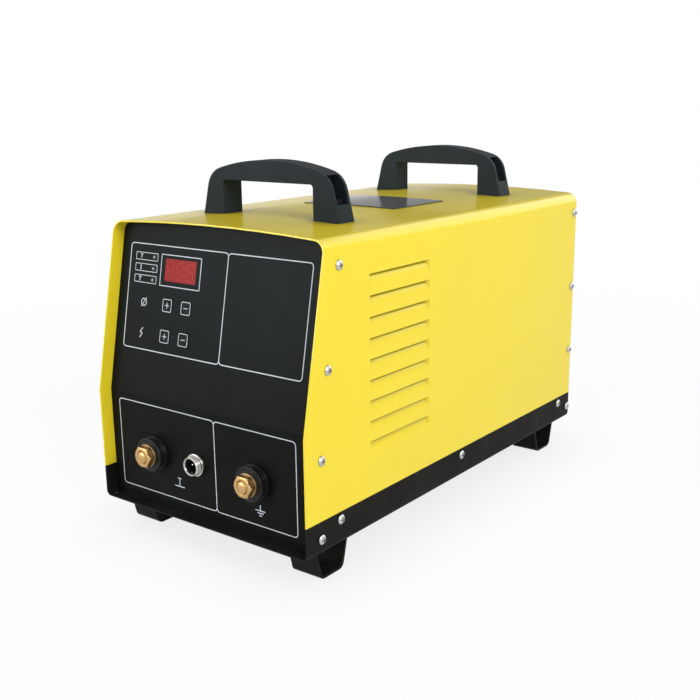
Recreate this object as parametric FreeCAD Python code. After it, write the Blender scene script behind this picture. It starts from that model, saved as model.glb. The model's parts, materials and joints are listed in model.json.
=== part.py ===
import FreeCAD, Part
import math
import os

# Insulation pin welder: a capacitor-discharge welding machine in a sheet-metal case.
# All sizes are in millimetres. x runs across the width, y from the front to the rear, z up.
# Pieces are drawn from the front knee line of the case and the underside of the base tray.
# At the end they move together, so that the origin lies on the ground under the middle.

# Case
case_width = 220.0
case_length = 420.0
sheet = 1.2
cover_top_height = 229.2
cover_corner_radius = 10.0
crown_rise = 3.0
seam_height = 26.0
seam_gap = 0.2
tray_bend_radius = 4.5
knee_share = 0.4027
lean_depth = 27.0
lap_height = 12.0
lap_gap = 0.15
lap_end_margin = 5.0

# Louvres in the cover's sides
louvre_count = 9
louvre_top_inset = 30.7
louvre_length = 80.0
louvre_depth = 4.2
louvre_fade = 9.5
louvre_wall = 1.0
louvre_skim = 0.1
louvre_end_degrees = 45.0
louvre_front = 77.6
louvre_lowest = 69.7

# Front and rear panels
panel_recess = 11.0
panel_sheet = 1.5
panel_flange = 14.0
panel_gap = 0.2
panel_corner_radius = 3.8
rear_recess = 0.5
film_thickness = 0.3
film_margin = 1.0

# Screws through the case sides
screw_radius = 2.0
screw_hole_gap = 0.2
screw_length = 8.0
screw_head_radius = 3.7
screw_head_height = 2.3
screw_crown_radius = 5.0
cross_width = 1.0
cross_length = 4.2
cross_depth = 1.3
column_depth = 7.2
column_height_shares = (0.3145, 0.598, 0.9165)
tray_screw_height = 20.0
tray_screw_inset = 39.7
tray_rear_screw_inset = 24.6
tray_low_screw_height = 12.0
tray_low_screw_depth = 6.1
rear_column_inset = 4.2

# Feet
foot_height = 26.0
foot_width = 27.0
foot_top_length = 40.0
foot_bottom_length = 27.0
foot_sheet = 2.0
foot_bend_radius = 6.0
foot_flange = 15.0
foot_screw_reach = 9.0
foot_side_inset = 8.0
foot_end_inset = 38.0
foot_screw_length = 6.0

# Carrying handles
handle_width = 142.6
handle_depth = 21.5
handle_height = 45.0
handle_shoulder_height = 34.2
handle_shoulder_inset = 8.5
handle_elbow_radius = 19.0
handle_opening_height = 28.2
handle_leg = 24.0
handle_opening_radius = 3.0
handle_edge_radius = 1.6
handle_pocket_wall = 3.8
handle_pocket_floor = 13.0
handle_pocket_height = 22.0
handle_end_inset = 74.2
bolt_radius = 3.0
bolt_gap = 0.15
bolt_inset = 10.8
bolt_head_flats = 10.0
bolt_head_height = 4.0
nut_height = 5.0
nut_flange_radius = 7.0
nut_flange_height = 1.2
strap_width = 25.0
strap_thickness = 2.0
strap_margin = 16.0

# Blank plate on the top
plate_width = 98.0
plate_length = 76.0
plate_thickness = 0.8
plate_centre_x = 4.0
plate_centre_y = 228.0

# Display, lights and keys on the upper facet; their shares are of its length up the slope
window_x = -38.9
window_share = 0.74962
window_size_x = 34.6
window_size_z = 18.0
window_gap = 0.1
window_lip = 2.4
window_plate = 1.5
display_size_x = 37.8
display_size_z = 19.0
display_depth = 8.0
stack_gap = 0.1
led_x = -70.1
led_count = 3
led_lowest_share = 0.68011
led_pitch_share = 0.06593
led_radius = 1.5
led_gap = 0.1
led_proud = 0.9
led_collar = 1.9
key_size = 10.8
key_gap = 0.3
key_proud = 0.6
key_travel = 0.5
key_flange = 1.4
key_flange_thickness = 1.0
key_rest_gap = 0.1
key_stem_radius = 2.0
key_middle_x = -39.4
key_pitch_x = 21.0
key_lower_share = 0.37194
key_pitch_share = 0.17701
switch_size = 12.0
switch_height = 4.6
switch_bore_gap = 0.3
switch_bore_depth = 2.4
stem_reach = 1.0
board_thickness = 1.6
board_side_inset = 9.0
board_side_margin = 12.0
board_low_margin = 0.9
board_high_margin = 7.9
board_margin = 5.0
standoff_radius = 3.0
standoff_snap_radius = 1.6
standoff_snap_head = 2.1
standoff_snap_height = 1.0
snap_gap = 0.1

# Welding terminals
gun_x = -57.0
ground_x = 52.3
terminal_height = 45.8
stud_radius = 5.0
thread_gap = 0.05
stud_proud = 1.0
stud_end_bevel = 1.0
terminal_nut_height = 5.0
terminal_nut_flats = 16.0
nut_bevel = 1.0
terminal_washer_radius = 9.5
terminal_washer = 1.8
seat_gap = 0.1
collar_radius = 14.0
collar_thickness = 2.6
neck_radius = 12.2
neck_length = 3.0
base_radius = 14.3
base_thickness = 2.9
insulator_bevel = 0.7
spigot_radius = 9.8
spigot_gap = 0.1
rear_insulator_thickness = 6.0
spigot_reach = 3.0
strap_bar = 3.0
inner_nut_height = 8.0
stud_tail = 4.0

# Signal socket between the terminals
socket_x = -10.0
socket_height = 45.7
socket_thread_radius = 8.0
socket_bore_radius = 6.2
socket_proud = 7.8
socket_flange_radius = 9.3
socket_flange = 3.0
socket_tail = 10.0
socket_bevel = 0.6
socket_nut_flats = 19.0
socket_nut_height = 3.0
insert_depth = 9.0
insert_gap = 0.05
pin_radius = 1.0
pin_count = 2
pin_circle = 2.6
pin_proud = 4.4
pin_tail = 4.0

# Capacitor bank
can_radius_share = 0.07381
can_height_share = 0.42757
bank_margin = 3.0
can_gap = 6.0
can_rows = 3
lid_radius = 28.5
lid_height = 4.0
post_radius = 5.0
post_height = 3.0
post_offset = 14.0
bar_width = 15.0
bar_thickness = 2.5
bar_screw_radius = 2.5
bar_screw_head_radius = 4.5
bar_screw_head = 3.0
bar_screw_reach = 5.0
bar_hole_gap = 0.1
crossbar_width = 18.0
crossbar_gap = 8.0
crossbar_setback = 5.5

# Rack, posts and equipment shelf
rack_post_radius = 5.0
post_inset = 15.0
post_setback = 11.0
rack_height_share = 0.6
rack_sheet = 1.5
rack_edge = 8.0
rack_hole_gap = 0.3
post_thread_radius = 2.5
post_thread_gap = 0.1
shelf_clearance = 15.3
shelf_sheet = 1.5
shelf_lip = 10.0

# Copper straps to the studs and over the shelf
copper_width = 20.0
copper_thickness = 3.0
shelf_slot_gap = 3.0
strap_lift = 2.0
strap_pad = 13.0
strap_screw_margin = 5.0
strap_riser_gap = 8.0

# Heat sink, power modules and power board on the shelf
sink_width = 130.0
sink_height_share = 0.31414
sink_base = 8.0
sink_depth = 40.0
sink_fins = 11
fin_thickness = 2.5
sink_gap = 16.0
sink_back_gap = 31.0
module_width = 34.0
module_height_share = 0.26178
module_depth = 32.0
module_pitch = 64.0
module_lift = 6.0
power_board_inset = 25.0
power_board_setback = 20.0
power_board_lift = 8.0
relay_length = 28.0
relay_width = 22.0
relay_height = 24.0
relay_places_share = ((-0.3, 0.3), (0.0, 0.3), (0.3, 0.3), (-0.32, -0.22))
choke_radius = 13.0
choke_height = 18.0
choke_place_share = (0.3, -0.2)

# Charging transformer
toroid_bore_share = 0.345
toroid_height = 54.0
toroid_rounding = 9.0
toroid_gap = 17.0
toroid_rear_gap = 1.0
pad_thickness = 2.0
dish_share = 0.69
dish_thickness = 2.0
transformer_bolt_radius = 4.0
transformer_bolt_gap = 0.2
transformer_nut_flats = 13.0
transformer_nut_height = 6.5
transformer_head_height = 5.0

# Cooling fan in the rear panel
fan_size = 120.0
fan_depth = 25.0
fan_height_share = 0.5934
fan_rim = 3.0
fan_lap = 1.0
fan_hole_inset = 7.5
fan_screw_radius = 2.0
fan_screw_gap = 0.2
fan_corner_radius = 6.0
motor_radius = 19.0
motor_plate = 4.0
motor_boss_radius = 5.0
motor_boss_length = 9.0
strut_width = 5.0
hub_radius = 20.0
hub_wall = 1.6
hub_depth = 16.0
hub_gap = 0.8
shaft_radius = 1.5
shaft_gap = 0.05
shaft_length = 8.0
blade_count = 7
blade_tip_gap = 1.5
blade_thickness = 1.6
blade_pitch_degrees = 38.0
blade_chord = 22.0
guard_wire = 1.1
guard_spoke = 1.2
guard_spoke_offset = 1.5
guard_knee_radius = 1.4
guard_rings = 4
guard_inner_ring = 14.0
guard_inset = 1.0
guard_standoff = 4.0
guard_pad_radius = 5.5
guard_pad_thickness = 1.5
fan_screw_head_radius = 3.7
fan_screw_head = 2.3
fan_nut_height = 3.2
fan_nut_flats = 7.0

# Mains switch in the rear panel
switch_x = -72.0
switch_z = 36.0
switch_bezel = 2.0
switch_bezel_lip = 1.5
switch_body_x = 21.0
switch_body_z = 28.0
switch_body_depth = 25.0
switch_body_gap = 0.2
rocker_x = 14.0
rocker_z = 20.0
rocker_tip = 2.6
rocker_dip = 0.6
rocker_gap = 0.8
rocker_pivot_depth = 4.7
rocker_cavity = 10.4
rocker_tilt_degrees = 8.0
trunnion_radius = 1.5
trunnion_length = 2.0
trunnion_gap = 0.05

# Fuse holder in the rear panel
fuse_x = -28.0
fuse_z = 34.0
fuse_body_radius = 6.5
fuse_flange_radius = 8.5
fuse_flange = 2.0
fuse_tail = 30.0
fuse_bore_radius = 5.0
fuse_cap_radius = 7.2
fuse_cap_length = 6.0
fuse_stem_length = 20.0
fuse_gap = 0.06
fuse_slot_width = 1.4
fuse_slot_depth = 1.5
fuse_nut_flats = 18.0
fuse_nut_height = 3.5

# Cord gland in the rear panel, for a lead that is not fitted
gland_x = 72.0
gland_z = 36.0
gland_bore_radius = 5.5
gland_thread_radius = 9.0
gland_flats = 24.0
gland_flange = 5.0
gland_tail = 8.0
gland_nut_height = 4.0
gland_dome_radius = 11.0
gland_dome_length = 13.0
gland_neck_radius = 8.0
gland_neck_length = 11.0
gland_dome_bevel = 3.0

# Earth stud in the rear panel
earth_x = 20.0
earth_z = 30.0
earth_radius = 3.0
earth_inner = 12.0
earth_outer = 17.0
earth_nut_flats = 10.0
earth_nut_height = 5.0
earth_washer_radius = 6.0
earth_washer = 1.2

# Every cut runs past the piece by this much
overrun = 10.0

half_width = case_width / 2
inner_half = half_width - sheet
knee_height = knee_share * cover_top_height
facet_length = math.hypot(lean_depth, cover_top_height - knee_height)
louvre_pitch = (cover_top_height - louvre_top_inset - louvre_lowest) / (louvre_count - 1)
louvre_sink = louvre_depth + louvre_skim
louvre_radius = (louvre_fade ** 2 + louvre_sink ** 2) / (2 * louvre_sink)
louvre_end_slope = math.tan(math.radians(louvre_end_degrees))
louvre_end_wall = louvre_wall / math.cos(math.radians(louvre_end_degrees))
window_height = window_share * facet_length
key_lower_row = key_lower_share * facet_length
key_pitch_z = key_pitch_share * facet_length
fan_height = fan_height_share * cover_top_height
lean_angle = math.atan2(lean_depth, cover_top_height - knee_height)
lean_degrees = math.degrees(lean_angle)
film_front = panel_recess - film_thickness
panel_back = panel_recess + panel_sheet
rear_outside = case_length - rear_recess
rear_inside = rear_outside - panel_sheet
board_front = panel_back + window_plate + display_depth + 2 * stack_gap
board_back = board_front + board_thickness
handle_centres = (lean_depth + handle_end_inset, case_length - handle_end_inset)
handle_shoulder_x = handle_width / 2 - handle_shoulder_inset
handle_opening_width = handle_width - 2 * handle_leg
bolt_spacing = handle_width - 2 * bolt_inset
board_left = board_side_inset - half_width
board_right = window_x + display_size_x / 2 + board_side_margin
board_low = key_lower_row - switch_size / 2 - board_low_margin
board_high = window_height + display_size_z / 2 + board_high_margin
collar_front = film_front - base_thickness - neck_length - collar_thickness
washer_back = collar_front - seat_gap
washer_front = washer_back - terminal_washer
outer_nut_back = washer_front - seat_gap
outer_nut_front = outer_nut_back - terminal_nut_height
stud_front = outer_nut_front - stud_proud
rear_insulator_back = panel_back + rear_insulator_thickness
first_nut_back = rear_insulator_back + inner_nut_height
strap_back = first_nut_back + strap_bar
second_nut_back = strap_back + inner_nut_height
stud_back = second_nut_back + stud_tail
can_radius = can_radius_share * case_length
can_pitch = 2 * can_radius + can_gap
bank_half = half_width - louvre_depth - louvre_wall - bank_margin
can_columns = int((2 * bank_half + can_gap) / can_pitch)
can_first_y = strap_back + crossbar_setback + crossbar_width + crossbar_gap + can_radius
can_last_y = can_first_y + (can_rows - 1) * can_pitch
can_height = can_height_share * cover_top_height
can_top = sheet + can_height
lid_top = can_top + lid_height
bar_bottom = lid_top + post_height
bar_top = bar_bottom + bar_thickness
crossbar_near = can_last_y + can_radius + crossbar_gap
post_x = half_width - post_inset
post_front_y = can_first_y - can_radius - post_setback
post_rear_y = can_last_y + can_radius + post_setback
rack_height = sheet + rack_height_share * can_height
shelf_height = bar_top + shelf_clearance
shelf_top = shelf_height + shelf_sheet
sink_height = sink_height_share * cover_top_height
sink_y = crossbar_near - sink_back_gap - sink_depth
module_front = sink_y - module_depth
module_height = module_height_share * cover_top_height
module_top = shelf_top + module_lift + module_height
power_board_front = post_front_y - rack_edge + power_board_setback
power_board_length = module_front - sink_gap - power_board_front
power_board_width = 2 * (half_width - power_board_inset)
toroid_front = can_last_y + can_radius + toroid_gap
toroid_radius = (rear_inside - fan_depth - toroid_rear_gap - toroid_front) / 2
toroid_centre_y = toroid_front + toroid_radius
toroid_bore = toroid_bore_share * toroid_radius
dish_radius = dish_share * toroid_radius
fan_bore = fan_size / 2 - fan_rim
fan_opening = fan_bore - fan_lap
fan_hole_pitch = fan_size - 2 * fan_hole_inset
guard_outer_ring = fan_opening - guard_inset
gland_front = rear_outside + gland_flange
gland_end = gland_front + gland_dome_length
rear_reach = gland_end
middle_y = (stud_front + rear_reach) / 2


def vector(x, y, z):
    return FreeCAD.Vector(x, y, z)


def block(x0, x1, y0, y1, z0, z1):
    return Part.makeBox(x1 - x0, y1 - y0, z1 - z0, vector(x0, y0, z0))


def rod_x(radius, y, z, x0, x1):
    return Part.makeCylinder(radius, x1 - x0, vector(x0, y, z), vector(1, 0, 0))


def rod_y(radius, x, z, y0, y1):
    return Part.makeCylinder(radius, y1 - y0, vector(x, y0, z), vector(0, 1, 0))


def rod_z(radius, x, y, z0, z1):
    return Part.makeCylinder(radius, z1 - z0, vector(x, y, z0), vector(0, 0, 1))


def ring_y(outer, inner, x, z, y0, y1):
    return rod_y(outer, x, z, y0, y1).cut(rod_y(inner, x, z, y0 - overrun, y1 + overrun))


def hex_points(flats):
    # Six corners, with two of the flats level.
    reach = flats / 2 / math.cos(math.pi / 6)
    return [(reach * math.cos(k * math.pi / 3), reach * math.sin(k * math.pi / 3)) for k in range(6)]


def hex_y(flats, x, z, y0, y1):
    corners = [vector(x + a, y0, z + b) for a, b in hex_points(flats)]
    face = Part.Face(Part.makePolygon(corners + corners[:1]))
    return face.extrude(vector(0, y1 - y0, 0))


def hex_z(flats, x, y, z0, z1):
    corners = [vector(x + a, y + b, z0) for a, b in hex_points(flats)]
    face = Part.Face(Part.makePolygon(corners + corners[:1]))
    return face.extrude(vector(0, 0, z1 - z0))


def cone_y(r0, r1, x, z, y0, y1):
    return Part.makeCone(r0, r1, y1 - y0, vector(x, y0, z), vector(0, 1, 0))


def across(a, b):
    return vector(a, 0, b)


def lengthways(a, b):
    return vector(0, a, b)


def closed_face(steps, place):
    # A step is a point for a straight edge, or a pair of points for an arc through the first.
    edges = []
    here = steps[0]
    for step in steps[1:] + steps[:1]:
        if isinstance(step[0], tuple):
            middle, end = step
            edges.append(Part.Arc(place(*here), place(*middle), place(*end)).toShape())
        else:
            end = step
            edges.append(Part.LineSegment(place(*here), place(*end)).toShape())
        here = end
    return Part.Face(Part.Wire(edges))


def corner_arc(centre, radius, start_degrees, end_degrees):
    # The middle and the end of an arc about a centre.
    points = []
    for angle in ((start_degrees + end_degrees) / 2, end_degrees):
        turn = math.radians(angle)
        points.append((centre[0] + radius * math.cos(turn), centre[1] + radius * math.sin(turn)))
    return tuple(points)


def fuse_all(shapes):
    whole = shapes[0]
    if len(shapes) > 1:
        whole = whole.multiFuse(shapes[1:])
    return whole.removeSplitter()


def cut_all(shape, cutters):
    return shape.cut(Part.makeCompound(cutters))


def group(shapes):
    return Part.makeCompound(shapes)


def crown_height(x):
    # Height of the cover's top at a distance from the middle.
    flat_half = half_width - cover_corner_radius
    radius = (flat_half ** 2 + crown_rise ** 2) / (2 * crown_rise)
    return cover_top_height + crown_rise - radius + math.sqrt(radius ** 2 - x ** 2)


def case_face(inset, foot, foot_radius):
    # Section of the case across its width, drawn inside the outer skin by the inset.
    half = half_width - inset
    flat = half_width - cover_corner_radius
    shoulder = cover_top_height - cover_corner_radius
    top = cover_top_height - inset
    radius = cover_corner_radius - inset
    steps = [(half, foot + foot_radius), (half, shoulder)]
    steps.append(corner_arc((flat, shoulder), radius, 0, 90))
    steps.append(((0, top + crown_rise), (-flat, top)))
    steps.append(corner_arc((-flat, shoulder), radius, 90, 180))
    steps.append((-half, foot + foot_radius))
    if foot_radius:
        steps.append(corner_arc((foot_radius - half, foot + foot_radius), foot_radius, 180, 270))
        steps.append((half - foot_radius, foot))
        corner = corner_arc((half - foot_radius, foot + foot_radius), foot_radius, 270, 360)
        return closed_with_arc(steps, corner)
    return closed_face(steps, across)


def closed_with_arc(steps, last):
    # A closed section whose last edge is an arc back to the first point.
    edges = []
    here = steps[0]
    for step in steps[1:] + [(last[0], steps[0])]:
        if isinstance(step[0], tuple):
            middle, end = step
            edges.append(Part.Arc(across(*here), across(*middle), across(*end)).toShape())
        else:
            end = step
            edges.append(Part.LineSegment(across(*here), across(*end)).toShape())
        here = end
    return Part.Face(Part.Wire(edges))


def case_prism(inset, foot, foot_radius, y0, y1):
    prism = case_face(inset, foot, foot_radius).extrude(vector(0, y1 - y0, 0))
    prism.translate(vector(0, y0, 0))
    return prism


def front_line(offset):
    # The front of the case seen from the side, moved back by the offset.
    top = cover_top_height + crown_rise + overrun
    knee = knee_height - offset * math.tan(lean_angle / 2)
    top_y = offset / math.cos(lean_angle) + (top - knee_height) * math.tan(lean_angle)
    return [(offset, -overrun), (offset, knee), (top_y, top)]


def front_band(near, far):
    # The space between two copies of the front line, right across the case.
    points = front_line(near) + front_line(far)[::-1]
    corners = [vector(-case_width, a, b) for a, b in points]
    face = Part.Face(Part.makePolygon(corners + corners[:1]))
    return face.extrude(vector(2 * case_width, 0, 0))


def on_facet(shape):
    # From a frame whose z runs up the slope from the knee to the frame of the case.
    placed = shape.copy()
    placed.translate(vector(0, 0, knee_height))
    placed.rotate(vector(0, 0, knee_height), vector(1, 0, 0), -lean_degrees)
    return placed


def mirrored(shape):
    return shape.mirror(vector(0, 0, 0), vector(1, 0, 0))


def louvre_heights():
    return [louvre_lowest + k * louvre_pitch for k in range(louvre_count)]


def louvre_part(z, wall, outer_x, end_wall):
    # A scoop deepest at the height, curving back out to the sheet below it, with sloping ends.
    centre_x = half_width + louvre_skim - louvre_radius
    low = z - louvre_fade
    y0 = louvre_front - end_wall
    y1 = louvre_front + louvre_length + end_wall
    flare = (outer_x - half_width) * louvre_end_slope
    taper = (half_width - centre_x) * louvre_end_slope
    corners = [vector(outer_x, y0 - flare, low), vector(centre_x, y0 + taper, low)]
    corners += [vector(centre_x, y1 - taper, low), vector(outer_x, y1 + flare, low)]
    room = Part.Face(Part.makePolygon(corners + corners[:1])).extrude(vector(0, 0, louvre_fade))
    return room.cut(rod_y(louvre_radius - wall, centre_x, low, y0 - overrun, y1 + overrun))


def louvre_shell(z):
    return louvre_part(z, louvre_wall, half_width, louvre_end_wall)


def louvre_hollow(z):
    return louvre_part(z, 0, half_width + overrun, 0)


def facet_y(z, depth):
    # Distance from the front at a height, for a line that follows the front at a depth.
    line = front_line(depth)
    if z <= line[1][1]:
        return depth
    return line[1][0] + (z - line[1][1]) * math.tan(lean_angle)


def column_heights():
    return [share * cover_top_height for share in column_height_shares]


def front_screws():
    depth = panel_recess + column_depth
    return [(facet_y(z, depth), z) for z in column_heights()]


def rear_screws():
    return [(case_length - rear_column_inset, z) for z in column_heights()]


def lap_screws():
    ends = (tray_screw_inset, case_length / 2, case_length - tray_rear_screw_inset)
    return [(y, tray_screw_height) for y in ends]


def low_screws():
    front = panel_recess + tray_low_screw_depth
    return [(front, tray_low_screw_height), (case_length - rear_column_inset, tray_low_screw_height)]


def side_holes(places, radius):
    return [rod_x(radius, y, z, -case_width, case_width) for y, z in places]


def handle_bolt_places():
    return [(side * bolt_spacing / 2, y) for y in handle_centres for side in (-1, 1)]


def cover():
    skin = case_prism(0, seam_height, 0, 0, case_length)
    hollow = case_prism(sheet, seam_height - overrun, 0, -overrun, case_length + overrun)
    outer_lap = inner_half - lap_gap
    inner_lap = outer_lap - sheet
    lap_start = panel_recess + panel_flange + lap_end_margin
    lap_end = rear_outside - panel_flange - lap_end_margin
    step = block(inner_lap, half_width, lap_start, lap_end, seam_height, seam_height + sheet)
    strip = block(inner_lap, outer_lap, lap_start, lap_end, seam_height - lap_height, seam_height + sheet)
    lap = step.fuse(strip)
    right = [lap] + [louvre_shell(z) for z in louvre_heights()]
    shells = right + [mirrored(shape) for shape in right]
    shape = fuse_all([skin.cut(hollow)] + shells)
    hollows = [louvre_hollow(z) for z in louvre_heights()]
    cutters = hollows + [mirrored(shape) for shape in hollows]
    cutters.append(front_band(-case_length, 0))
    cutters += side_holes(front_screws() + rear_screws(), screw_radius + screw_hole_gap)
    cutters += side_holes(lap_screws(), screw_radius)
    for x, y in handle_bolt_places():
        cutters.append(rod_z(bolt_radius + bolt_gap, x, y, knee_height, cover_top_height + overrun))
    return cut_all(shape, cutters)


def tray_steps(inset):
    half = half_width - inset
    radius = tray_bend_radius - inset
    top = seam_height - seam_gap
    steps = [(-half, top), (-half, inset + radius)]
    steps.append(corner_arc((radius - half, inset + radius), radius, 180, 270))
    steps.append((half - radius, inset))
    steps.append(corner_arc((half - radius, inset + radius), radius, 270, 360))
    steps.append((half, top))
    return steps


def foot_places():
    x = half_width - foot_side_inset - foot_width / 2
    return [(side * x, y) for y in (foot_end_inset, case_length - foot_end_inset) for side in (-1, 1)]


def foot_screw_places():
    return [(x, y + end * foot_screw_reach) for x, y in foot_places() for end in (-1, 1)]


def post_places():
    return [(side * post_x, y) for y in (post_front_y, post_rear_y) for side in (-1, 1)]


def base_tray():
    length = vector(0, case_length, 0)
    outer = closed_face(tray_steps(0), across).extrude(length)
    inner_steps = tray_steps(sheet)
    top = seam_height + overrun
    raised = [(inner_steps[0][0], top)] + inner_steps[1:-1] + [(inner_steps[-1][0], top)]
    hollow = closed_face(raised, across).extrude(vector(0, case_length + 2 * overrun, 0))
    hollow.translate(vector(0, -overrun, 0))
    shape = outer.cut(hollow)
    cutters = side_holes(lap_screws() + low_screws(), screw_radius + screw_hole_gap)
    for x, y in foot_screw_places():
        cutters.append(rod_z(screw_radius + thread_gap, x, y, -overrun, overrun))
    for x, y in post_places():
        cutters.append(rod_z(post_thread_radius + post_thread_gap, x, y, -overrun, overrun))
    hole = transformer_bolt_radius + transformer_bolt_gap
    cutters.append(rod_z(hole, 0, toroid_centre_y, -overrun, overrun))
    return cut_all(shape, cutters)


def led_heights():
    return [(led_lowest_share + k * led_pitch_share) * facet_length for k in range(led_count)]


def key_columns():
    # The plus keys stand left of the minus keys.
    return key_middle_x - key_pitch_x / 2, key_middle_x + key_pitch_x / 2


def key_rows():
    return key_lower_row + key_pitch_z, key_lower_row


def key_places():
    return [(x, z) for z in key_rows() for x in key_columns()]


def film_cuts():
    # Openings shared by the film and the panel on the upper facet, in the facet's frame.
    cutters = []
    half_key = key_size / 2 + key_gap
    for x, z in key_places():
        cutters.append(block(x - half_key, x + half_key, 0, board_front, z - half_key, z + half_key))
    for z in led_heights():
        cutters.append(rod_y(led_radius + led_gap, led_x, z, 0, board_front))
    half_x = window_size_x / 2
    half_z = window_size_z / 2
    low = window_height - half_z
    high = window_height + half_z
    cutters.append(block(window_x - half_x, window_x + half_x, 0, board_front, low, high))
    return [on_facet(cutter) for cutter in cutters]


def lower_cuts():
    back = panel_back + overrun
    cutters = [rod_y(spigot_radius + spigot_gap, x, terminal_height, -overrun, back)
               for x in (gun_x, ground_x)]
    cutters.append(rod_y(socket_thread_radius + thread_gap, socket_x, socket_height, -overrun, back))
    return cutters


def front_panel():
    inset = sheet + panel_gap
    back = panel_recess + panel_flange
    radius = panel_corner_radius
    body = case_prism(inset, sheet, radius, -overrun, case_length)
    hollow = case_prism(inset + panel_sheet, sheet + panel_sheet, radius, -overrun, case_length)
    outer = body.common(front_band(panel_recess, back))
    inner = hollow.common(front_band(panel_back, back + overrun))
    shape = outer.cut(inner)
    places = front_screws() + low_screws()[:1]
    return cut_all(shape, side_holes(places, screw_radius) + film_cuts() + lower_cuts())


def panel_film():
    inset = sheet + panel_gap + film_margin
    body = case_prism(inset, sheet + film_margin, panel_corner_radius, -overrun, case_length)
    shape = body.common(front_band(film_front, panel_recess))
    return cut_all(shape, film_cuts() + lower_cuts())


def fan_screw_places():
    pitch = fan_hole_pitch / 2
    return [(a * pitch, fan_height + b * pitch) for a in (-1, 1) for b in (-1, 1)]


def rear_panel():
    inset = sheet + panel_gap
    flange_front = rear_outside - panel_flange
    body = case_prism(inset, sheet, panel_corner_radius, flange_front, rear_outside)
    depth = inset + panel_sheet
    foot = sheet + panel_sheet
    hollow = case_prism(depth, foot, panel_corner_radius, flange_front - overrun, rear_inside)
    shape = body.cut(hollow)
    back = rear_outside + overrun
    cutters = side_holes(rear_screws() + low_screws()[1:], screw_radius)
    cutters.append(rod_y(fan_opening, 0, fan_height, rear_inside - overrun, back))
    for x, z in fan_screw_places():
        cutters.append(rod_y(fan_screw_radius + fan_screw_gap, x, z, rear_inside - overrun, back))
    half_x = switch_body_x / 2 + switch_body_gap
    half_z = switch_body_z / 2 + switch_body_gap
    cutters.append(block(switch_x - half_x, switch_x + half_x, rear_inside - overrun, back,
                         switch_z - half_z, switch_z + half_z))
    cutters.append(rod_y(fuse_body_radius + fuse_gap, fuse_x, fuse_z, rear_inside - overrun, back))
    cutters.append(rod_y(gland_thread_radius + thread_gap, gland_x, gland_z, rear_inside - overrun, back))
    cutters.append(rod_y(earth_radius + thread_gap, earth_x, earth_z, rear_inside - overrun, back))
    return cut_all(shape, cutters)


def display_window():
    half_x = window_size_x / 2 - window_gap
    half_z = window_size_z / 2 - window_gap
    boss = block(window_x - half_x, window_x + half_x, film_front, panel_back + window_gap,
                 window_height - half_z, window_height + half_z)
    half_x = window_size_x / 2 + window_lip
    half_z = window_size_z / 2 + window_lip
    plate = block(window_x - half_x, window_x + half_x, panel_back, panel_back + window_plate,
                  window_height - half_z, window_height + half_z)
    return on_facet(fuse_all([boss, plate]))


def display_module():
    half_x = display_size_x / 2
    half_z = display_size_z / 2
    front = board_front - stack_gap / 2 - display_depth
    body = block(window_x - half_x, window_x + half_x, front, front + display_depth,
                 window_height - half_z, window_height + half_z)
    return on_facet(body)


def indicator_leds():
    lights = []
    for z in led_heights():
        tip = film_front - led_proud + led_radius
        body = rod_y(led_radius, led_x, z, tip, board_front)
        dome = Part.makeSphere(led_radius, vector(led_x, tip, z))
        collar = rod_y(led_collar, led_x, z, panel_back + led_gap, board_front)
        lights.append(on_facet(fuse_all([body, dome, collar])))
    return group(lights)


def key(x, z):
    half = key_size / 2
    flange_half = half + key_flange
    flange_front = panel_back + key_rest_gap
    flange_back = flange_front + key_flange_thickness
    stem_back = board_front - switch_height + stem_reach
    cap = block(x - half, x + half, film_front - key_proud, flange_back, z - half, z + half)
    flange = block(x - flange_half, x + flange_half, flange_front, flange_back,
                   z - flange_half, z + flange_half)
    stem = rod_y(key_stem_radius, x, z, flange_front, stem_back)
    return on_facet(fuse_all([cap, flange, stem]))


def key_switches():
    bodies = []
    half = switch_size / 2
    front = board_front - switch_height
    for x, z in key_places():
        body = block(x - half, x + half, front, board_front, z - half, z + half)
        bore = rod_y(key_stem_radius + switch_bore_gap, x, z, front - overrun, front + switch_bore_depth)
        bodies.append(on_facet(body.cut(bore)))
    return group(bodies)


def board_corners():
    return [(x, z) for x in (board_left + board_margin, board_right - board_margin)
            for z in (board_low + board_margin, board_high - board_margin)]


def control_board():
    board = block(board_left, board_right, board_front, board_back, board_low, board_high)
    holes = [rod_y(standoff_snap_radius + snap_gap, x, z, board_front - overrun, board_back + overrun)
             for x, z in board_corners()]
    return on_facet(cut_all(board, holes))


def standoff_y(x, z, y0, seat, board):
    # A moulded spacer from the panel to the board, with a snap head through the board.
    head = seat + board
    parts = [rod_y(standoff_radius, x, z, y0, seat), rod_y(standoff_snap_radius, x, z, y0, head)]
    parts.append(rod_y(standoff_snap_head, x, z, head, head + standoff_snap_height))
    return fuse_all(parts)


def power_board_corners():
    half = power_board_width / 2 - board_margin
    front = power_board_front + board_margin
    back = power_board_front + power_board_length - board_margin
    return [(x, y) for x in (-half, half) for y in (front, back)]


def board_standoffs():
    spacers = [on_facet(standoff_y(x, z, panel_back, board_front, board_thickness))
               for x, z in board_corners()]
    seat = shelf_top + power_board_lift
    head = seat + board_thickness
    for x, y in power_board_corners():
        spacers.append(fuse_all([rod_z(standoff_radius, x, y, shelf_top, seat),
                                 rod_z(standoff_snap_radius, x, y, seat, head),
                                 rod_z(standoff_snap_head, x, y, head, head + standoff_snap_height)]))
    return group(spacers)


def handle_base():
    return crown_height(bolt_spacing / 2)


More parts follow.
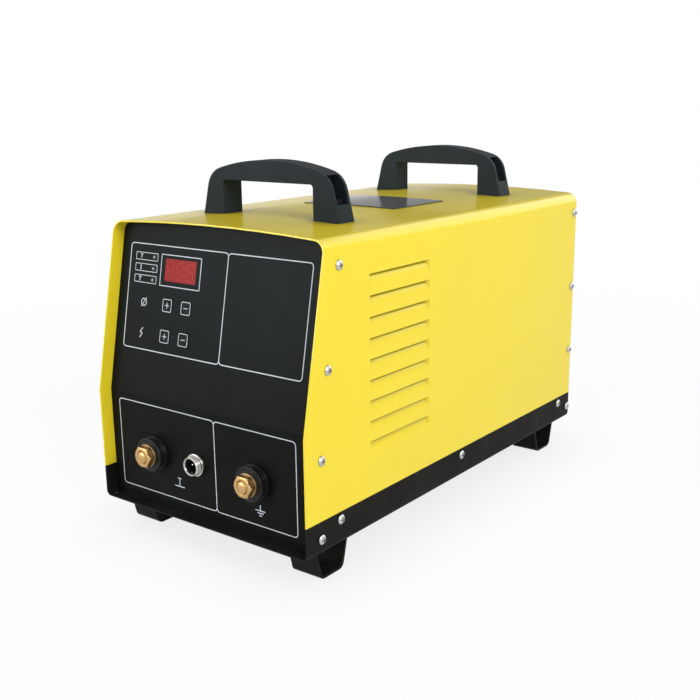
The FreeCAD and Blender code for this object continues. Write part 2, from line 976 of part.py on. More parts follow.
def handle_body():
    # The solid grip before its opening and pockets, drawn between zero and its depth.
    base = handle_base()
    foot = base - crown_rise
    half = handle_width / 2
    shoulder = base + handle_shoulder_height
    steps = [(-half, foot), (-half, base), (-handle_shoulder_x, shoulder)]
    steps.append(((0, base + handle_height), (handle_shoulder_x, shoulder)))
    steps += [(half, base), (half, foot)]
    body = closed_face(steps, across).extrude(vector(0, handle_depth, 0))
    elbows = [edge for edge in body.Edges
              if all(abs(vertex.Point.z - shoulder) < foot_sheet for vertex in edge.Vertexes)
              and abs(edge.Vertexes[0].Point.y - edge.Vertexes[1].Point.y) > foot_sheet]
    body = body.makeFillet(handle_elbow_radius, elbows)
    rims = [edge for edge in body.Edges if is_rim(edge, base + crown_rise)]
    return body.makeFillet(handle_edge_radius, rims)


def handle(centre_y):
    body = handle_body()
    opening = handle_opening()
    body.translate(vector(0, centre_y - handle_depth / 2, 0))
    opening.translate(vector(0, centre_y, 0))
    cutters = [opening, case_prism(0, 0, 0, 0, case_length)]
    pocket_y = handle_depth / 2 - handle_pocket_wall
    pocket_x = handle_opening_width / 2 + handle_pocket_wall
    floor = handle_base() + handle_pocket_floor
    for side in (-1, 1):
        inner = side * pocket_x
        outer = side * case_width
        cutters.append(block(min(inner, outer), max(inner, outer), centre_y - pocket_y, centre_y + pocket_y,
                             floor, floor + handle_pocket_height))
        cutters.append(rod_z(bolt_radius + bolt_gap, side * bolt_spacing / 2, centre_y,
                             seam_height, floor + overrun))
    return cut_all(body, cutters)


def is_rim(edge, lowest):
    # An edge of the handle's front or rear face, above its base.
    ends = [vertex.Point for vertex in edge.Vertexes]
    level = abs(ends[0].y - ends[-1].y) < handle_edge_radius
    return level and max(point.z for point in ends) > lowest


def handle_opening():
    half = handle_opening_width / 2
    top = handle_base() + handle_opening_height
    depth = handle_depth / 2 + overrun
    body = block(-half, half, -depth, depth, 0, top)
    corners = [edge for edge in body.Edges
               if edge.Vertexes[0].Point.z > top - handle_opening_radius
               and edge.Vertexes[1].Point.z > top - handle_opening_radius
               and abs(edge.Vertexes[0].Point.x - edge.Vertexes[1].Point.x) < handle_opening_radius]
    return body.makeFillet(handle_opening_radius, corners)


def handle_bolts():
    bolts = []
    floor = handle_base() + handle_pocket_floor
    for x, y in handle_bolt_places():
        bottom = strap_underside() - nut_height - stud_proud
        shank = rod_z(bolt_radius, x, y, bottom, floor)
        head = hex_z(bolt_head_flats, x, y, floor, floor + bolt_head_height)
        bolts.append(fuse_all([shank, head]))
    return group(bolts)


def strap_underside():
    # The straps are flat bars that touch the cover's underside at their outer ends.
    end = bolt_spacing / 2 + strap_margin
    return crown_height(end) - sheet - strap_thickness


def handle_straps():
    straps = []
    half = bolt_spacing / 2 + strap_margin
    low = strap_underside()
    for y in handle_centres:
        bar = block(-half, half, y - strap_width / 2, y + strap_width / 2, low, low + strap_thickness)
        holes = [rod_z(bolt_radius + bolt_gap, x, centre, low - overrun, low + overrun)
                 for x, centre in handle_bolt_places()]
        straps.append(cut_all(bar, holes))
    return group(straps)


def handle_nuts():
    nuts = []
    top = strap_underside()
    for x, y in handle_bolt_places():
        flange = rod_z(nut_flange_radius, x, y, top - nut_flange_height, top)
        body = hex_z(bolt_head_flats, x, y, top - nut_height, top)
        bore = rod_z(bolt_radius + thread_gap, x, y, top - nut_height - overrun, top + overrun)
        nuts.append(fuse_all([flange, body]).cut(bore))
    return group(nuts)


def foot_channel(inset):
    # The bent strip's outside, or with the sheet as inset its inside.
    half_top = foot_top_length / 2 - inset
    half_bottom = foot_bottom_length / 2 - inset
    bottom = inset - foot_height
    points = [(-half_top, 0), (half_top, 0), (half_bottom, bottom), (-half_bottom, bottom)]
    corners = [vector(-foot_width / 2, a, b) for a, b in points]
    body = Part.Face(Part.makePolygon(corners + corners[:1])).extrude(vector(foot_width, 0, 0))
    bends = [edge for edge in body.Edges
             if all(vertex.Point.z < bottom / 2 for vertex in edge.Vertexes)
             and abs(edge.Vertexes[0].Point.x - edge.Vertexes[1].Point.x) > foot_sheet]
    return body.makeFillet(foot_bend_radius - inset, bends)


def foot():
    # A bent strip, open at both sides, whose ends turn inwards, drawn under the origin.
    parts = [foot_channel(0).cut(foot_channel(foot_sheet))]
    for end in (-1, 1):
        outer = end * (foot_top_length / 2 - foot_sheet / 2)
        inner = outer - end * foot_flange
        near, far = min(outer, inner), max(outer, inner)
        flange = block(-foot_width / 2, foot_width / 2, near, far, -foot_sheet, 0)
        hole = rod_z(screw_radius + screw_hole_gap, 0, end * foot_screw_reach, -overrun, overrun)
        parts.append(flange.cut(hole))
    return fuse_all(parts)


def feet():
    shapes = []
    single = foot()
    for x, y in foot_places():
        copy = single.copy()
        copy.translate(vector(x, y, 0))
        shapes.append(copy)
    return group(shapes)


def pan_screw(length, head_radius, head_height):
    # Drawn with its head above the level of zero and its shank below, pointing up.
    dome = Part.makeSphere(screw_crown_radius, vector(0, 0, head_height - screw_crown_radius))
    head = rod_z(head_radius, 0, 0, 0, head_height).common(dome)
    shank = rod_z(screw_radius, 0, 0, -length, 0)
    half = cross_length / 2
    low = head_height - cross_depth
    arms = [block(-half, half, -cross_width / 2, cross_width / 2, low, head_height + overrun),
            block(-cross_width / 2, cross_width / 2, -half, half, low, head_height + overrun)]
    return cut_all(head.fuse(shank), arms).removeSplitter()


def foot_screws():
    shapes = []
    for x, y in foot_screw_places():
        screw = pan_screw(foot_screw_length, screw_head_radius, screw_head_height)
        screw.rotate(vector(0, 0, 0), vector(1, 0, 0), 180)
        screw.translate(vector(x, y, -foot_sheet))
        shapes.append(screw)
    return group(shapes)


def case_screws():
    shapes = []
    for y, z in front_screws() + rear_screws() + lap_screws() + low_screws():
        for side in (-1, 1):
            screw = pan_screw(screw_length, screw_head_radius, screw_head_height)
            screw.rotate(vector(0, 0, 0), vector(0, 1, 0), side * 90)
            screw.translate(vector(side * half_width, y, z))
            shapes.append(screw)
    return group(shapes)


def top_plate():
    # A thin blank plate that follows the crown.
    skin = case_prism(-plate_thickness, seam_height, 0, 0, case_length)
    casing = case_prism(0, 0, 0, -overrun, case_length + overrun)
    room = block(plate_centre_x - plate_width / 2, plate_centre_x + plate_width / 2,
                 plate_centre_y - plate_length / 2, plate_centre_y + plate_length / 2,
                 knee_height, cover_top_height + overrun)
    return skin.common(room).cut(casing)


def front_insulator(x):
    z = terminal_height
    neck_front = collar_front + collar_thickness
    base_front = film_front - base_thickness
    bevel = insulator_bevel
    parts = [cone_y(collar_radius - bevel, collar_radius, x, z, collar_front, collar_front + bevel),
             rod_y(collar_radius, x, z, collar_front + bevel, neck_front),
             rod_y(neck_radius, x, z, neck_front, base_front),
             cone_y(base_radius - bevel, base_radius, x, z, base_front, base_front + bevel),
             rod_y(base_radius, x, z, base_front + bevel, film_front),
             rod_y(spigot_radius, x, z, film_front, panel_back + spigot_reach)]
    bore = rod_y(stud_radius + thread_gap, x, z, collar_front - overrun, panel_back + overrun)
    return fuse_all(parts).cut(bore)


def rear_insulator(x):
    z = terminal_height
    body = rod_y(collar_radius, x, z, panel_back, rear_insulator_back)
    socket_back = panel_back + spigot_reach + spigot_gap
    socket = rod_y(spigot_radius + spigot_gap, x, z, panel_back - overrun, socket_back)
    bore = rod_y(stud_radius + thread_gap, x, z, panel_back - overrun, rear_insulator_back + overrun)
    return cut_all(body, [socket, bore])


def terminal_stud(x):
    z = terminal_height
    tip = cone_y(stud_radius - stud_end_bevel, stud_radius, x, z, stud_front, stud_front + stud_end_bevel)
    return fuse_all([tip, rod_y(stud_radius, x, z, stud_front + stud_end_bevel, stud_back)])


def bevelled_nut_y(flats, x, z, y0, y1, bore):
    # A hexagon nut whose front face has its corners turned off.
    reach = flats / 2 / math.cos(math.pi / 6)
    turned = cone_y(flats / 2, reach + nut_bevel, x, z, y0, y0 + nut_bevel * 2)
    straight = rod_y(reach + nut_bevel, x, z, y0 + nut_bevel * 2, y1)
    body = hex_y(flats, x, z, y0, y1).common(fuse_all([turned, straight]))
    return body.cut(rod_y(bore, x, z, y0 - overrun, y1 + overrun))


def outer_nut(x):
    bore = stud_radius + thread_gap
    return bevelled_nut_y(terminal_nut_flats, x, terminal_height, outer_nut_front, outer_nut_back, bore)


def outer_washer(x):
    return ring_y(terminal_washer_radius, stud_radius + thread_gap, x, terminal_height,
                  washer_front, washer_back)


def stud_nuts():
    nuts = []
    for x in (gun_x, ground_x):
        for y0, y1 in ((rear_insulator_back, first_nut_back), (strap_back, second_nut_back)):
            body = hex_y(terminal_nut_flats, x, terminal_height, y0, y1)
            bore = rod_y(stud_radius + thread_gap, x, terminal_height, y0 - overrun, y1 + overrun)
            nuts.append(body.cut(bore))
    return group(nuts)


def socket_shell():
    x, z = socket_x, socket_height
    front = film_front - socket_proud
    back = panel_back + socket_tail
    flange_front = film_front - socket_flange
    tip = socket_thread_radius - socket_bevel
    parts = [cone_y(tip, socket_thread_radius, x, z, front, front + socket_bevel),
             rod_y(socket_thread_radius, x, z, front + socket_bevel, back),
             cone_y(socket_flange_radius - socket_bevel, socket_flange_radius, x, z,
                    flange_front, flange_front + socket_bevel),
             rod_y(socket_flange_radius, x, z, flange_front + socket_bevel, film_front)]
    return fuse_all(parts).cut(rod_y(socket_bore_radius, x, z, front - overrun, back + overrun))


def pin_places():
    places = []
    for k in range(pin_count):
        turn = 2 * math.pi * k / pin_count
        places.append((socket_x + pin_circle * math.cos(turn), socket_height + pin_circle * math.sin(turn)))
    return places


def socket_insert():
    front = film_front - socket_proud + insert_depth
    back = panel_back + socket_tail
    body = rod_y(socket_bore_radius - insert_gap, socket_x, socket_height, front, back)
    holes = [rod_y(pin_radius + insert_gap, x, z, front - overrun, back + overrun) for x, z in pin_places()]
    return cut_all(body, holes)


def socket_pins():
    front = film_front - socket_proud + insert_depth - pin_proud
    back = panel_back + socket_tail + pin_tail
    pins = []
    for x, z in pin_places():
        tip = Part.makeSphere(pin_radius, vector(x, front + pin_radius, z))
        pins.append(fuse_all([rod_y(pin_radius, x, z, front + pin_radius, back), tip]))
    return group(pins)


def socket_nut():
    body = hex_y(socket_nut_flats, socket_x, socket_height, panel_back, panel_back + socket_nut_height)
    bore = socket_thread_radius + thread_gap
    return body.cut(rod_y(bore, socket_x, socket_height, panel_back - overrun, panel_back + overrun))


def can_places():
    first_x = -(can_columns - 1) * can_pitch / 2
    return [(first_x + i * can_pitch, can_first_y + j * can_pitch)
            for i in range(can_columns) for j in range(can_rows)]


def capacitor_cans():
    return group([rod_z(can_radius, x, y, sheet, can_top) for x, y in can_places()])


def capacitor_lids():
    lids = []
    for x, y in can_places():
        parts = [rod_z(lid_radius, x, y, can_top, lid_top)]
        holes = []
        for side in (-1, 1):
            post = x + side * post_offset
            parts.append(rod_z(post_radius, post, y, lid_top, bar_bottom))
            holes.append(rod_z(bar_screw_radius + thread_gap, post, y,
                               bar_top - bar_screw_reach, lid_top + overrun))
        lids.append(cut_all(fuse_all(parts), holes))
    return group(lids)


def comb(side):
    # A finger along each column of cans, one crossbar beyond the first or the last row, and
    # the place on it where a strap is screwed down.
    lap_x, lap_y, lap_z = strap_screw_places()[2 if side > 0 else 3]
    if side > 0:
        cross_near, cross_far = strap_back + crossbar_setback, can_first_y - can_radius - crossbar_gap
        finger_near, finger_far = cross_near, can_last_y + bar_width / 2
    else:
        cross_near, cross_far = crossbar_near, crossbar_near + crossbar_width
        finger_near, finger_far = can_first_y - bar_width / 2, cross_far
    columns = sorted({x + side * post_offset for x, y in can_places()})
    half = bar_width / 2
    bars = [block(x - half, x + half, finger_near, finger_far, bar_bottom, bar_top) for x in columns]
    bars.append(block(columns[0] - half, columns[-1] + half, cross_near, cross_far, bar_bottom, bar_top))
    bars.append(block(lap_x - copper_width / 2, lap_x + copper_width / 2, cross_near, cross_far,
                      bar_bottom, bar_top))
    holes = [rod_z(bar_screw_radius + bar_hole_gap, x + side * post_offset, y,
                   bar_bottom - overrun, bar_top + overrun) for x, y in can_places()]
    holes.append(rod_z(bar_screw_radius + thread_gap, lap_x, lap_y, bar_bottom - overrun, bar_top + overrun))
    return cut_all(fuse_all(bars), holes)


def bar_screw(x, y, seat):
    shank = rod_z(bar_screw_radius, x, y, seat - bar_screw_reach, seat)
    head = rod_z(bar_screw_head_radius, x, y, seat, seat + bar_screw_head)
    return fuse_all([shank, head])


def bar_screws():
    seats = [(x + side * post_offset, y, bar_top) for x, y in can_places() for side in (-1, 1)]
    seats += [(x, y, z + copper_thickness) for x, y, z in strap_screw_places()]
    return group([bar_screw(x, y, z) for x, y, z in seats])


def rack_outline(z0, z1):
    half = post_x + rack_edge
    return block(-half, half, post_front_y - rack_edge, post_rear_y + rack_edge, z0, z1)


def capacitor_rack():
    holes = [rod_z(can_radius + rack_hole_gap, x, y, 0, shelf_height) for x, y in can_places()]
    holes += [rod_z(post_thread_radius + post_thread_gap, x, y, 0, shelf_height) for x, y in post_places()]
    return cut_all(rack_outline(rack_height, rack_height + rack_sheet), holes)


def rack_posts():
    # A lower and an upper post at each corner; a stud of the upper one passes the rack and
    # enters the lower one, and screws at both ends hold the tray and the shelf.
    posts = []
    top_of_rack = rack_height + rack_sheet
    for x, y in post_places():
        lower = rod_z(rack_post_radius, x, y, sheet, rack_height)
        foot_stud = rod_z(post_thread_radius, x, y, 0, sheet)
        bore = post_thread_radius + post_thread_gap
        socket = rod_z(bore, x, y, rack_height - overrun, rack_height + overrun)
        upper = rod_z(rack_post_radius, x, y, top_of_rack, shelf_height)
        top_stud = rod_z(post_thread_radius, x, y, shelf_height, shelf_top + sheet)
        stud = rod_z(post_thread_radius, x, y, rack_height - overrun / 2, top_of_rack)
        posts.append(fuse_all([lower, foot_stud]).cut(socket))
        posts.append(fuse_all([upper, top_stud, stud]))
    return group(posts)


def equipment_shelf():
    half = post_x + rack_edge
    back = post_rear_y + rack_edge
    deck = rack_outline(shelf_height, shelf_top)
    lip = block(-half, half, back - shelf_sheet, back, shelf_height, shelf_top + shelf_lip)
    holes = [rod_z(post_thread_radius + post_thread_gap, x, y, 0, shelf_top + overrun)
             for x, y in post_places()]
    x0, x1 = bank_strap_columns()
    near = crossbar_near - shelf_slot_gap
    far = crossbar_near + copper_thickness + shelf_slot_gap
    holes.append(block(x0 - shelf_slot_gap, x1 + shelf_slot_gap, near, far, 0, shelf_top + overrun))
    return cut_all(fuse_all([deck, lip]), holes)


def bank_strap_columns():
    middle = -module_pitch / 2
    return middle - copper_width / 2, middle + copper_width / 2


def strap_screw_places():
    # Screws through the straps: two into the power module, one into each crossbar.
    middle = -module_pitch / 2
    gun = (middle, module_front + strap_pad / 2, module_top)
    bank = (middle, sink_y - shelf_slot_gap - strap_pad + strap_screw_margin, module_top)
    positive = (ground_x, can_first_y - can_radius - crossbar_gap - crossbar_width / 2, bar_top)
    negative = (middle, crossbar_near + (crossbar_width + copper_thickness) / 2, bar_top)
    return gun, bank, positive, negative


def ground_strap():
    # From the right stud up to the positive crossbar.
    x0, x1 = ground_x - copper_width / 2, ground_x + copper_width / 2
    low = terminal_height - copper_width / 2
    high = bar_top + copper_thickness
    back = can_first_y - can_radius - crossbar_gap
    rise = block(x0, x1, first_nut_back, strap_back, low, high)
    lap = block(x0, x1, first_nut_back, back, bar_top, high)
    return fuse_all([rise, lap])


def gun_strap():
    # From the left stud over the shelf, under the power board, and onto the module.
    x0, x1 = gun_x - copper_width / 2, gun_x + copper_width / 2
    low = terminal_height - copper_width / 2
    run_low = shelf_top + strap_lift
    run_top = run_low + copper_thickness
    riser_back = module_front - strap_riser_gap
    riser_front = riser_back - copper_thickness
    bridge_top = module_top + copper_thickness
    pad_front = module_front
    pad_back = pad_front + strap_pad
    pad_end = -module_pitch / 2 + copper_width / 2
    return fuse_all([block(x0, x1, first_nut_back, strap_back, low, run_top),
                     block(x0, x1, first_nut_back, riser_back, run_low, run_top),
                     block(x0, x1, riser_front, riser_back, run_low, bridge_top),
                     block(x0, x1, riser_front, pad_back, module_top, bridge_top),
                     block(x0, pad_end, pad_front, pad_back, module_top, bridge_top)])


def bank_strap():
    # From the negative crossbar up through the shelf, over the heat sink, to the module.
    x0, x1 = bank_strap_columns()
    near = crossbar_near
    over_low = shelf_top + sink_height + shelf_slot_gap
    over_top = over_low + copper_thickness
    pad_back = sink_y - shelf_slot_gap
    pad_front = pad_back - strap_pad
    module_riser = pad_back - copper_thickness
    return fuse_all([block(x0, x1, near, near + crossbar_width, bar_top, bar_top + copper_thickness),
                     block(x0, x1, near, near + copper_thickness, bar_top, over_top),
                     block(x0, x1, module_riser, near + copper_thickness, over_low, over_top),
                     block(x0, x1, module_riser, pad_back, module_top, over_top),
                     block(x0, x1, pad_front, pad_back, module_top, module_top + copper_thickness)])


def copper_straps():
    holes = [rod_z(bar_screw_radius + bar_hole_gap, x, y, z - overrun / 2, z + overrun / 2)
             for x, y, z in strap_screw_places()]
    hole = stud_radius + spigot_gap
    holes += [rod_y(hole, x, terminal_height, 0, stud_back) for x in (gun_x, ground_x)]
    return group([cut_all(strap, holes) for strap in (ground_strap(), gun_strap(), bank_strap())])


def heat_sink():
    low = shelf_top
    high = shelf_top + sink_height
    base = block(-sink_width / 2, sink_width / 2, sink_y, sink_y + sink_base, low, high)
    pitch = (sink_width - fin_thickness) / (sink_fins - 1)
    fins = []
    for k in range(sink_fins):
        x = -sink_width / 2 + k * pitch
        fins.append(block(x, x + fin_thickness, sink_y, sink_y + sink_depth, low, high))
    return fuse_all([base] + fins)


def power_modules():
    low = shelf_top + module_lift
    holes = [rod_z(bar_screw_radius + thread_gap, x, y, z - overrun, z + overrun)
             for x, y, z in strap_screw_places()[:2]]
    modules = []
    for x in (-module_pitch / 2, module_pitch / 2):
        body = block(x - module_width / 2, x + module_width / 2, module_front, sink_y,
                     low, low + module_height)
        modules.append(cut_all(body, holes))
    return group(modules)


def power_board():
    # The board with its soldered relays and choke, which come off the bench as one piece.
    z0 = shelf_top + power_board_lift
    z1 = z0 + board_thickness
    half = power_board_width / 2
    back = power_board_front + power_board_length
    middle = (power_board_front + back) / 2
    board = block(-half, half, power_board_front, back, z0, z1)
    holes = [rod_z(standoff_snap_radius + snap_gap, x, y, z0 - overrun, z1 + overrun)
             for x, y in power_board_corners()]
    parts = [cut_all(board, holes)]
    for share_x, share_y in relay_places_share:
        x = share_x * power_board_width
        y = middle + share_y * power_board_length
        parts.append(block(x - relay_length / 2, x + relay_length / 2, y - relay_width / 2,
                           y + relay_width / 2, z1, z1 + relay_height))
    choke_x = choke_place_share[0] * power_board_width
    choke_y = middle + choke_place_share[1] * power_board_length
    parts.append(rod_z(choke_radius, choke_x, choke_y, z1, z1 + choke_height))
    return fuse_all(parts)


def toroid_bottom():
    return sheet + pad_thickness


def toroid_top():
    return toroid_bottom() + toroid_height


def transformer_winding():
    low = toroid_bottom()
    high = toroid_top()
    r = toroid_rounding
    steps = [(toroid_bore, low + r), (toroid_bore, high - r)]
    steps.append(corner_arc((toroid_bore + r, high - r), r, 180, 90))
    steps.append((toroid_radius - r, high))
    steps.append(corner_arc((toroid_radius - r, high - r), r, 90, 0))
    steps.append((toroid_radius, low + r))
    steps.append(corner_arc((toroid_radius - r, low + r), r, 0, -90))
    steps.append((toroid_bore + r, low))
    last = corner_arc((toroid_bore + r, low + r), r, -90, -180)
    ring = closed_with_arc(steps, last).revolve(vector(0, 0, 0), vector(0, 0, 1), 360)
    ring.translate(vector(0, toroid_centre_y, 0))
    return ring


def transformer_clamp():
    # Rubber pads, dished plate, bolt and nut that hold the transformer to the tray.
    y = toroid_centre_y
    hole = transformer_bolt_radius + transformer_bolt_gap
    upper = toroid_top() + pad_thickness
    plate_top = upper + dish_thickness
    pads = []
    for z0, z1 in ((sheet, toroid_bottom()), (toroid_top(), upper)):
        pads.append(rod_z(dish_radius, 0, y, z0, z1).cut(rod_z(hole, 0, y, z0 - overrun, z1 + overrun)))
    plate = rod_z(dish_radius, 0, y, upper, plate_top)
    plate = plate.cut(rod_z(hole, 0, y, upper - overrun, plate_top + overrun))
    nut_top = plate_top + transformer_nut_height
    bolt = fuse_all([rod_z(transformer_bolt_radius, 0, y, 0, nut_top + stud_proud),
                     hex_z(transformer_nut_flats, 0, y, -transformer_head_height, 0)])
    nut = hex_z(transformer_nut_flats, 0, y, plate_top, nut_top)
    nut = nut.cut(rod_z(transformer_bolt_radius + thread_gap, 0, y, plate_top - overrun, nut_top + overrun))
    return group(pads + [plate, bolt, nut])


def fan_frame():
    half = fan_size / 2
    front = rear_inside - fan_depth
    body = block(-half, half, front, rear_inside, fan_height - half, fan_height + half)
    rims = [edge for edge in body.Edges
            if abs(edge.Vertexes[0].Point.y - edge.Vertexes[1].Point.y) > fan_depth / 2]
    body = body.makeFillet(fan_corner_radius, rims)
    body = body.cut(rod_y(fan_bore, 0, fan_height, front - overrun, rear_inside + overrun))
    plate_front = rear_inside - motor_plate
    parts = [body, rod_y(motor_radius, 0, fan_height, plate_front, rear_inside),
             rod_y(motor_boss_radius, 0, fan_height, plate_front - motor_boss_length, rear_inside)]
    reach = fan_bore + (half - fan_bore) / 2
    strut = strut_width / 2
    parts.append(block(-reach, reach, plate_front, rear_inside, fan_height - strut, fan_height + strut))
    parts.append(block(-strut, strut, plate_front, rear_inside, fan_height - reach, fan_height + reach))
    frame = fuse_all(parts)
    holes = [rod_y(fan_screw_radius + fan_screw_gap, x, z, front - overrun, rear_inside + overrun)
             for x, z in fan_screw_places()]
    tip = plate_front - motor_boss_length
    holes.append(rod_y(shaft_radius + shaft_gap, 0, fan_height, tip - overrun, tip + shaft_length + hub_gap))
    return cut_all(frame, holes)


def fan_rotor():
    back = rear_inside - motor_plate - hub_gap
    front = back - hub_depth
    boss_tip = rear_inside - motor_plate - motor_boss_length
    cup = rod_y(hub_radius, 0, fan_height, front, back)
    cup = cup.cut(rod_y(hub_radius - hub_wall, 0, fan_height, boss_tip - hub_gap, back + overrun))
    shaft = rod_y(shaft_radius, 0, fan_height, front, boss_tip + shaft_length)
    tip = fan_bore - blade_tip_gap
    middle = (front + back) / 2
    root = hub_radius - hub_wall
    annulus = ring_y(tip, root, 0, fan_height, front, back)
    blades = []
    for k in range(blade_count):
        blade = block(-blade_thickness / 2, blade_thickness / 2, middle - blade_chord / 2,
                      middle + blade_chord / 2, fan_height, fan_height + tip + overrun)
        blade.rotate(vector(0, middle, fan_height), vector(0, 0, 1), blade_pitch_degrees)
        blade.rotate(vector(0, middle, fan_height), vector(0, 1, 0), 360 * k / blade_count)
        blades.append(blade.common(annulus))
    return fuse_all([cup, shaft] + blades)


def fan_guard():
    # Wire rings, and four wires that run outwards behind them and down to the screw pads.
    plane = rear_outside + guard_standoff
    wire_plane = plane - guard_spoke_offset
    pad_back = rear_outside + guard_pad_thickness
    parts = []
    for k in range(guard_rings):
        radius = guard_inner_ring + k * (guard_outer_ring - guard_inner_ring) / (guard_rings - 1)
        parts.append(Part.makeTorus(radius, guard_wire, vector(0, plane, fan_height), vector(0, 1, 0)))
    middle = vector(0, wire_plane, fan_height)
    for x, z in fan_screw_places():
        corner = vector(x, wire_plane, z)
        inward = middle - corner
        inward.normalize()
        knee = corner + inward * (guard_pad_radius * 2)
        toe = corner + inward * (guard_pad_radius - guard_spoke)
        toe.y = rear_outside + guard_spoke + seat_gap
        inner = middle - inward * (guard_inner_ring - guard_wire / 2)
        parts.append(Part.makeCylinder(guard_spoke, (inner - knee).Length, knee, inward))
        parts.append(Part.makeCylinder(guard_spoke, (knee - toe).Length, toe, knee - toe))
        parts.append(Part.makeSphere(guard_knee_radius, knee))
        parts.append(rod_y(guard_pad_radius, x, z, rear_outside, pad_back))
    guard = fuse_all(parts)
    holes = [rod_y(fan_screw_radius + fan_screw_gap, x, z, rear_outside - overrun, pad_back + overrun)
             for x, z in fan_screw_places()]
    return cut_all(guard, holes)


def fan_screws():
    # Long screws through guard, panel and fan, each with its nut at the fan's inner side.
    shapes = []
    seat = rear_outside + guard_pad_thickness
    fan_front = rear_inside - fan_depth
    end = fan_front - fan_nut_height - stud_proud
    for x, z in fan_screw_places():
        screw = pan_screw(seat - end, fan_screw_head_radius, fan_screw_head)
        screw.rotate(vector(0, 0, 0), vector(1, 0, 0), -90)
        screw.translate(vector(x, seat, z))
        shapes.append(screw)
        nut = hex_y(fan_nut_flats, x, z, fan_front - fan_nut_height, fan_front)
        thread = rod_y(fan_screw_radius + thread_gap, x, z, end - overrun, fan_front + overrun)
        shapes.append(nut.cut(thread))
    return group(shapes)


def mains_switch():
    back = rear_outside + switch_bezel
    half_x = switch_body_x / 2 + switch_bezel_lip
    half_z = switch_body_z / 2 + switch_bezel_lip
    bezel = block(switch_x - half_x, switch_x + half_x, rear_outside, back,
                  switch_z - half_z, switch_z + half_z)
    half_x = switch_body_x / 2
    half_z = switch_body_z / 2
    body = block(switch_x - half_x, switch_x + half_x, rear_outside - switch_body_depth, rear_outside,
                 switch_z - half_z, switch_z + half_z)
    half_x = rocker_x / 2 + rocker_gap
    half_z = rocker_z / 2 + rocker_gap
    cavity = block(switch_x - half_x, switch_x + half_x, rear_outside - rocker_cavity, back + overrun,
                   switch_z - half_z, switch_z + half_z)
    reach = rocker_x / 2 + trunnion_length + trunnion_gap
    holes = rod_x(trunnion_radius + trunnion_gap, rear_outside - rocker_pivot_depth, switch_z,
                  switch_x - reach, switch_x + reach)
    return cut_all(fuse_all([bezel, body]), [cavity, holes])


def mains_rocker():
    # Drawn level, then tipped to its off position about the trunnions.
    half = rocker_z / 2
    pivot_y = rear_outside - rocker_pivot_depth
    front = rear_outside + switch_bezel
    low, high = switch_z - half, switch_z + half
    crest = front + rocker_tip
    steps = [(pivot_y, low), (crest, low + rocker_gap), (front + rocker_dip, switch_z),
             (crest, high - rocker_gap), (pivot_y, high)]
    edges = [Part.LineSegment(lengthways(*here), lengthways(*end)).toShape()
             for here, end in zip(steps[:-1], steps[1:])]
    belly = lengthways(pivot_y - half / 2, switch_z)
    edges.append(Part.Arc(lengthways(*steps[-1]), belly, lengthways(*steps[0])).toShape())
    body = Part.Face(Part.Wire(edges)).extrude(vector(rocker_x, 0, 0))
    body.translate(vector(switch_x - rocker_x / 2, 0, 0))
    reach = rocker_x / 2 + trunnion_length
    pins = rod_x(trunnion_radius, pivot_y, switch_z, switch_x - reach, switch_x + reach)
    rocker = fuse_all([body, pins])
    rocker.rotate(vector(switch_x, pivot_y, switch_z), vector(1, 0, 0), -rocker_tilt_degrees)
    return rocker


def fuse_holder():
    flange_back = rear_outside + fuse_flange
    body = fuse_all([rod_y(fuse_flange_radius, fuse_x, fuse_z, rear_outside, flange_back),
                     rod_y(fuse_body_radius, fuse_x, fuse_z, rear_outside - fuse_tail, flange_back)])
    bore = rod_y(fuse_bore_radius, fuse_x, fuse_z, flange_back - fuse_stem_length - fuse_slot_width,
                 flange_back + overrun)
    nut = hex_y(fuse_nut_flats, fuse_x, fuse_z, rear_inside - fuse_nut_height, rear_inside)
    thread = rod_y(fuse_body_radius + thread_gap, fuse_x, fuse_z, rear_inside - overrun, rear_outside)
    return group([body.cut(bore), nut.cut(thread)])


def fuse_cap():
    seat = rear_outside + fuse_flange + seat_gap
    end = seat + fuse_cap_length
    bevel = socket_bevel
    parts = [rod_y(fuse_cap_radius, fuse_x, fuse_z, seat, end - bevel),
             cone_y(fuse_cap_radius, fuse_cap_radius - bevel, fuse_x, fuse_z, end - bevel, end),
             rod_y(fuse_bore_radius - fuse_gap, fuse_x, fuse_z, seat - fuse_stem_length, seat)]
    half = fuse_slot_width / 2
    reach = fuse_cap_radius - bevel * 2
    slot = block(fuse_x - reach, fuse_x + reach, end - fuse_slot_depth, end + overrun,
                 fuse_z - half, fuse_z + half)
    return fuse_all(parts).cut(slot)


def cord_gland():
    # Body through the panel, lock nut inside, dome nut outside, all with an empty bore.
    x, z = gland_x, gland_z
    bore = rod_y(gland_bore_radius, x, z, rear_inside - case_length, gland_end + overrun)
    neck_back = gland_front + gland_neck_length
    body = fuse_all([hex_y(gland_flats, x, z, rear_outside, gland_front),
                     rod_y(gland_thread_radius, x, z, rear_inside - gland_tail, rear_outside),
                     rod_y(gland_neck_radius, x, z, gland_front, neck_back)])
    straight_end = gland_end - gland_dome_bevel
    nose = gland_dome_radius - gland_dome_bevel
    dome = fuse_all([rod_y(gland_dome_radius, x, z, gland_front + seat_gap, straight_end),
                     cone_y(gland_dome_radius, nose, x, z, straight_end, gland_end)])
    hollow = rod_y(gland_neck_radius + thread_gap, x, z, gland_front - overrun, neck_back + seat_gap)
    nut = hex_y(gland_flats, x, z, rear_inside - gland_nut_height, rear_inside)
    thread = rod_y(gland_thread_radius + thread_gap, x, z, rear_inside - overrun, rear_outside)
    return group([body.cut(bore), cut_all(dome, [hollow, bore]), nut.cut(thread)])


